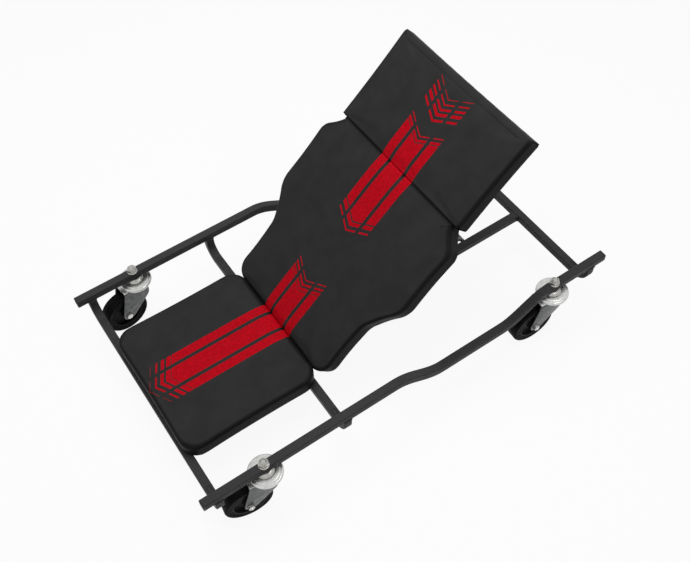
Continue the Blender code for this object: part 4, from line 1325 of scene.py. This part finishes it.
def swivel_head():
    """The broad pressed ring on the fork, with its tab: round shoulder, low step, groove round the race."""
    low = PLATE_Z + SHEET + 0.05 * MM
    shoulder = 4.5 * MM
    rim = HEAD_R + RING_LIP
    brow = HEAD_TOP - 0.9 * MM
    arc = [k * math.pi / 12 for k in range(7)]
    edge = [(rim - shoulder * (1 - math.cos(t)), brow - shoulder * (1 - math.sin(t))) for t in arc]
    step = rim - 8 * MM
    lip = RACE_R + 1.0 * MM
    groove = HEAD_TOP - 0.7 * MM
    turned = lathe([
        (STEM_BORE, low), (rim - 2 * MM, low), (rim - 0.3 * MM, low + 0.8 * MM), (rim, low + 2 * MM),
        *edge, (step + 0.8 * MM, HEAD_TOP - 0.8 * MM), (step, HEAD_TOP - 0.3 * MM), (step - 1 * MM, HEAD_TOP),
        (lip + 0.6 * MM, HEAD_TOP), (lip, groove), (RACE_R - 2 * MM, groove), (RACE_R - 3 * MM, HEAD_TOP),
        (STEM_BORE, HEAD_TOP),
    ], 72, ring=True)
    # The tab is a thin plate of bright zinc laid over the fork's roof: the upward face shows the bright zinc,
    # while the fork under it carries the painted shade of its darker zinc.
    side = CHEEK_OUT - 1 * MM
    plan = [(TAB_X, -side), (-RACE_R, -side), (-RACE_R, side), (TAB_X, side)]
    return carved(turned, ("UNION", eased(prism(plan, low + 0.1 * MM, low + 1.6 * MM), 0.5 * MM)))


fork_mesh = pressed_fork()
head_mesh = swivel_head()

# %% [markdown]
# The wheel is a rubber tyre with round shoulders and a faint mould line, on a nylon hub with a
# dished web, a raised rim and a boss.

# %% Tyre and hub
def tyre_ring():
    half = WHEEL_W / 2
    bore = WHEEL_R - 15 * MM
    shoulder = 5.5 * MM
    arc = [k * math.pi / 14 for k in range(8)]
    upper = [(WHEEL_R - 0.25 * MM, 0.5 * MM)]
    upper += [(WHEEL_R - shoulder * (1 - math.cos(t)), half - shoulder * (1 - math.sin(t))) for t in arc]
    upper += [(WHEEL_R - 8 * MM, half), (WHEEL_R - 9 * MM, half - 0.5 * MM)]
    upper += [(WHEEL_R - 13 * MM, half - 0.6 * MM), (bore, half - 0.9 * MM)]
    return placed(lathe(lower_half(upper) + [(WHEEL_R, 0)] + upper, 96, ring=True), Y_UP)


def dished_hub():
    rim = WHEEL_R - 15.3 * MM
    face = WHEEL_W / 2 - 0.6 * MM
    web = 7 * MM
    boss = 13 * MM
    top = WHEEL_W / 2 + 1 * MM
    bore = 7.05 * MM
    upper = [
        (bore, top), (boss * 0.78, top), (boss * 0.86, top - 0.6 * MM), (boss, web + 1.5 * MM),
        (boss + 1.5 * MM, web), (boss + 7 * MM, web - 0.8 * MM), (rim - 8 * MM, web),
        (rim - 6.2 * MM, web + 1.4 * MM), (rim - 5 * MM, face - 0.8 * MM), (rim - 4.2 * MM, face),
        (rim - 0.6 * MM, face), (rim, face - 0.6 * MM),
    ]
    return placed(lathe(upper + lower_half(upper), 96, ring=True), Y_UP)


tyre_mesh = tyre_ring()
hub_mesh = dished_hub()

# %% [markdown]
# Hexagon nuts and bolt heads have chamfered corners: the hexagon is cut with a low cone, which
# leaves the curved edges that catch the light.

# %% Stem, nut and axle bolt
NUT_HEX = 19 * MM
AXLE_HEX = 13 * MM
CUTTER_STEPS = 72
CUTTER_PAST = 1 * MM
THREAD = 1.25 * MM
NUT_BORE = 1.08 * AXLE_R


def hexagon_blank(across, low, high, bottom_cut=False):
    """A hexagon prism, its top or both ends chamfered by a turned cutter half a step off its corners."""
    radius = across / math.sqrt(3)
    outline = [(radius * math.cos(k * math.pi / 3), radius * math.sin(k * math.pi / 3)) for k in range(6)]
    flat = across / 2 * 0.97
    slope = (radius - across / 2) * 0.7 / ((radius if bottom_cut else radius * 1.1) - flat)
    wide, narrow = radius + CUTTER_PAST, flat - CUTTER_PAST
    drop, rise = (wide - flat) * slope, CUTTER_PAST * slope
    top = [(wide, high - drop), (narrow, high + rise), (0, high + rise)]
    bottom = [(0, low - CUTTER_PAST), (wide, low - CUTTER_PAST)]
    if bottom_cut:
        bottom = [(0, low - rise), (narrow, low - rise), (wide, low + drop)]
    cone = placed(lathe(bottom + top, CUTTER_STEPS), Matrix.Rotation(math.pi / CUTTER_STEPS, 4, "Z"))
    return carved(prism(outline, low, high), ("INTERSECT", cone))


def threaded(radius, low, high):
    """A rod whose end shows the crests of its thread."""
    crests = []
    for k in range(int((high - low) / THREAD)):
        crests += [(radius, low + THREAD * (k + 0.25)), (radius * 0.88, low + THREAD * (k + 0.75))]
    return [*crests, (radius * 0.8, high)]


def turned_stem():
    foot, top = (corner.z for corner in local_box(f"castor_stem_{first}"))
    seat = RAIL_BASE_Z - GAP
    race = seat - 6.3 * MM
    edge = race + 0.7 * MM
    run = RACE_R - STEM_R - 5 * MM
    dome = [(RACE_R - run * k / 6, edge + (seat - edge) * math.sin(k / 6 * math.pi / 2)) for k in range(7)]
    return lathe([
        (0, foot), (9 * MM, foot), (10 * MM, foot + 1 * MM), (10 * MM, foot + 6 * MM),
        (STEM_R, foot + 6 * MM), (STEM_R, race), (RACE_R - 0.4 * MM, race), *dome, (STEM_R, seat),
        (STEM_R, rail_high.z), *threaded(STEM_R, rail_high.z + 1 * MM, top), (0, top),
    ], 56)


def flanged_nut():
    low, high = (corner.z for corner in local_box(f"castor_nut_{first}"))
    rim, collar_r, inside = 11.5 * MM, 8.4 * MM, low + 0.5 * MM
    flange = lathe([
        (0, low), (rim, low), (rim, low + 0.8 * MM), (rim - 0.6 * MM, low + 1.3 * MM),
        (rim - 2.4 * MM, low + 2.2 * MM), (0, low + 2.2 * MM),
    ], 56)
    collar = lathe([
        (0, inside), (collar_r, inside), (collar_r, high - 0.7 * MM), (collar_r - 0.7 * MM, high), (0, high),
    ], 56)
    blank = hexagon_blank(NUT_HEX, low + 1 * MM, high - 2 * MM)
    return carved(flange, ("UNION", blank), ("UNION", collar), ("DIFFERENCE", rod(STEM_BORE, 0, 1.0, 40)))


def axle_bolt():
    seat = CHEEK_OUT + GAP
    head = hexagon_blank(AXLE_HEX, 0, 5.3 * MM)
    head = placed(head, Matrix.Translation((0, 0, -seat)), Matrix.Rotation(math.pi, 4, "X"))
    start, tip = -seat - 2 * MM, seat + 8.5 * MM
    thread = threaded(AXLE_R, seat, tip)
    shank = lathe([(0, start), (AXLE_R, start), (AXLE_R, seat - 0.5 * MM), *thread, (0, tip)], 32)
    return placed(carved(head, ("UNION", shank)), Y_UP)


def axle_nut():
    seat = CHEEK_OUT + GAP
    blank = hexagon_blank(AXLE_HEX, seat, seat + 6.5 * MM, bottom_cut=True)
    return placed(carved(blank, ("DIFFERENCE", rod(NUT_BORE, 0, 1.0, 32))), Y_UP)


stem_mesh, nut_mesh, bolt_mesh, axle_nut_mesh = turned_stem(), flanged_nut(), axle_bolt(), axle_nut()

# %% Put the castors together
for corner in CASTORS:
    place = castor_places[corner]
    stem = Matrix.Translation(place.translation)
    axle = place @ Matrix.Translation((-TRAIL, 0, WHEEL_R))
    outward = axle @ Matrix.Rotation(0 if corner.endswith("left") else math.pi, 4, "Z")
    swivel, wheel = f"castor_{corner}", f"wheel_{corner}"
    for name, mesh, spot, finish, body, slot, solids in (
        ("castor_pintle", stem_mesh, stem, grey_zinc, "frame", "zinc", ["castor_stem"]),
        ("castor_locknut", nut_mesh, stem, grey_zinc, "frame", "zinc", ["castor_nut"]),
        ("pressed_fork", fork_mesh, place, shaded_zinc, swivel, "zinc", ["castor_fork"]),
        ("swivel_head", head_mesh, place, zinc_plate, swivel, "zinc", []),
        ("wheel_bolt", bolt_mesh, outward, zinc_plate, swivel, "zinc", ["axle_bolt"]),
        ("wheel_nut", axle_nut_mesh, outward, zinc_plate, swivel, "zinc", ["axle_nut"]),
        ("tyre", tyre_mesh, axle, tyre_rubber, wheel, "tyre", ["wheel_tyre"]),
        ("hub", hub_mesh, axle, hub_nylon, wheel, "hub", ["wheel_hub"]),
    ):
        stands_for = [f"{solid}_{corner}" for solid in solids]
        piece(f"{name}_{corner}", placed(mesh, spot), finish, body, slot, *stands_for)
    coat(cad[f"axle_sleeve_{corner}"].data, zinc_plate)
print("castors:", len(CASTORS))

# %% [markdown]
# ## Screws
# Pan-head screws hold the boards: up through the cross tubes into the seat, through the backrest's
# tubes into both boards, and through the strap's flanges. The tree sets one on each point, its
# head along the point's own direction, which is stored as an attribute.

# %% Screws on their points
SCREW_R = 4.2 * MM
SCREW_H = 2.4 * MM
SCREW_RECESS = 1 * MM
QUARTERS = ((1, 0), (0, 1), (-1, 0), (0, -1))


def pan_screw():
    """A screw's head, drawn with its face at +Z, with a cross recess."""
    rim = 0.35 * SCREW_H
    turns = (0, 0.3, 0.6, 0.9, 1.2, 1.4)
    dome = [(SCREW_R * math.cos(t), rim + (SCREW_H - rim) * math.sin(t)) for t in turns]
    head = lathe([(0, 0), (SCREW_R, 0), *dome, (0, SCREW_H)], 24)
    arm, slot = 2.3 * MM, 0.55 * MM
    quarter = [(arm, slot), (slot, slot), (slot, arm)]
    cross = [(x * c - y * s, x * s + y * c) for c, s in QUARTERS for x, y in quarter]
    return carved(head, ("DIFFERENCE", prism(cross, SCREW_H - SCREW_RECESS, 2 * SCREW_H)))


def set_screws_tree():
    tree, inputs = new_tree("set_screws", [], ["Screw"])
    named = {"Name": "facing"}
    facing = add(tree, "GeometryNodeInputNamedAttribute", named, data_type="FLOAT_VECTOR").outputs[0]
    turn = add(tree, "FunctionNodeAlignRotationToVector", {"Vector": facing}, axis="Z").outputs[0]
    shape = add(tree, "GeometryNodeObjectInfo", {"Object": inputs["Screw"]}).outputs["Geometry"]
    spots = {"Points": inputs["Geometry"], "Instance": shape, "Rotation": turn}
    close_tree(tree, inputs, add(tree, "GeometryNodeInstanceOnPoints", spots).outputs[0])
    return tree


set_screws = set_screws_tree()


def screws(name, points, facing, body):
    dots = bpy.data.meshes.new("dots")
    dots.from_pydata(points, [], [])
    stored = dots.attributes.new("facing", "FLOAT_VECTOR", "POINT")
    stored.data.foreach_set("vector", [*facing] * len(points))
    shape = carrier_of(pan_screw())
    mesh = grown(dots, set_screws, {"Screw": shape, "Finish": zinc_plate}, shape)
    piece(name, mesh, zinc_plate, body, "zinc")
    print(f"{name}: {len(points)}")


SEAT_SCREW_Y = 0.115
BACK_SCREWS = (0.060, 0.205, 0.360, 0.490, 0.570)
FLANGE_SCREW = 14 * MM

under_seat = []
for name in ("front", "middle"):
    low, high = local_box(f"{name}_cross_tube")
    under_seat += [Vector(((low.x + high.x) / 2, side * SEAT_SCREW_Y, low.z)) for side in SIDES.values()]
screws("seat_screws", under_seat, (0, 0, -1), "frame")

tube_y = box_middle("back_frame_left").y
flange_z = local_box("prop_saddle", back_place)[1].z - STRAP
pivot_x = box_middle("prop_saddle", back_place).x
under_back = [(x, side * tube_y, -TUBE / 2) for x in BACK_SCREWS for side in SIDES.values()]
for end in (-1, 1):
    under_back += [(pivot_x + end * FLANGE_SCREW, side * FLANGE_SCREW, flange_z) for side in SIDES.values()]
back_down = back_place.to_3x3() @ Vector((0, 0, -1))
screws("back_screws", [back_place @ Vector(spot) for spot in under_back], back_down, "backrest")

# %% [markdown]
# ## Stage
# A white floor and a soft overhead light, as in a product photograph. The camera stands above the
# front right corner, where a fit to the rails and castors puts the photographer. To the eye, and in
# reflections, floor and sky are white; the light that falls on the creeper is a plain level.

# %% Floor and sky
FLOOR_SIZE = 40.0
FLOOR_GLOW = 0.92
SKY_LIGHT = 0.24
WHITE = (1, 1, 1, 1)


def seen_directly(tree):
    """1 where the eye, a reflection or a see-through piece looks, and 0 where light only bounces."""
    ray = add(tree, "ShaderNodeLightPath").outputs
    seen = ray["Is Camera Ray"]
    for kind in ("Is Glossy Ray", "Is Transmission Ray"):
        seen = add(tree, MATH, {0: seen, 1: ray[kind]}, operation="MAXIMUM").outputs[0]
    return seen


def white_floor():
    bm = bmesh.new()
    bmesh.ops.create_grid(bm, x_segments=2, y_segments=2, size=FLOOR_SIZE / 2)
    mesh = bpy.data.meshes.new("floor")
    bm.to_mesh(mesh)
    bm.free()
    floor = bpy.data.objects.new("floor", mesh)
    bpy.context.collection.objects.link(floor)
    material = bpy.data.materials.new("white_paper")
    material.use_nodes = True
    tree = material.node_tree
    tree.nodes.clear()
    glow = add(tree, "ShaderNodeEmission", {"Color": WHITE, "Strength": 1.0}).outputs[0]
    seen = seen_directly(tree)
    tone = {"Factor": seen, "A": linear("#747474"), "B": linear("#efefef")}
    sheet = add(tree, "ShaderNodeMix", tone, data_type="RGBA").outputs["Result"]
    paper = add(tree, "ShaderNodeBsdfDiffuse", {"Color": sheet}).outputs[0]
    share = add(tree, MATH, {0: seen, 1: FLOOR_GLOW}, operation="MULTIPLY").outputs[0]
    mixed = add(tree, "ShaderNodeMixShader", {0: share, 1: paper, 2: glow}).outputs[0]
    add(tree, "ShaderNodeOutputMaterial", {"Surface": mixed})
    mesh.materials.append(material)


def studio_sky():
    world = bpy.data.worlds.new("studio")
    bpy.context.scene.world = world
    world.use_nodes = True
    tree = world.node_tree
    tree.nodes.clear()
    levels = {"Value": seen_directly(tree), "To Min": SKY_LIGHT, "To Max": 1.0}
    strength = add(tree, "ShaderNodeMapRange", levels).outputs["Result"]
    sky = add(tree, "ShaderNodeBackground", {"Color": WHITE, "Strength": strength}).outputs[0]
    add(tree, "ShaderNodeOutputWorld", {"Surface": sky})


white_floor()
studio_sky()

# %% Lamps and camera
LAMP_TARGET = Vector((0, 0, 0.2))


def soft_box(name, place, size, power, mirrored):
    """A round lamp aimed at the creeper; glossy surfaces mirror it or not."""
    lamp = bpy.data.lights.new(name, "AREA")
    lamp.shape = "DISK"
    lamp.size = size
    lamp.energy = power
    box = bpy.data.objects.new(name, lamp)
    box.location = place
    box.rotation_euler = (LAMP_TARGET - Vector(place)).to_track_quat("-Z", "Y").to_euler()
    box.visible_glossy = mirrored
    bpy.context.collection.objects.link(box)


soft_box("overhead", (-0.2, 0.3, 2.6), 1.8, 39, False)
soft_box("edge_light", (0.72, -1.06, 1.95), 0.4, 6, True)

CAMERA_AT = Vector((-0.6192, -1.0025, 1.8004))
CAMERA_RIGHT = Vector((0.8265, -0.5622, -0.0270))
CAMERA_AHEAD = Vector((0.3074, 0.4911, -0.8150))
PHOTO_WIDTH = 690
FOCAL_PIXELS = 912.83
SENSOR = 36.0

ahead = CAMERA_AHEAD.normalized()
right = (CAMERA_RIGHT - ahead * CAMERA_RIGHT.dot(ahead)).normalized()
up = right.cross(ahead)
lens = bpy.data.cameras.new("camera")
lens.sensor_width = SENSOR
lens.lens = FOCAL_PIXELS / PHOTO_WIDTH * SENSOR
camera = bpy.data.objects.new("camera", lens)
camera.matrix_world = Matrix.Translation(CAMERA_AT) @ Matrix((right, up, -ahead)).transposed().to_4x4()
bpy.context.collection.objects.link(camera)
bpy.context.scene.camera = camera
bpy.context.scene.view_settings.view_transform = "Standard"
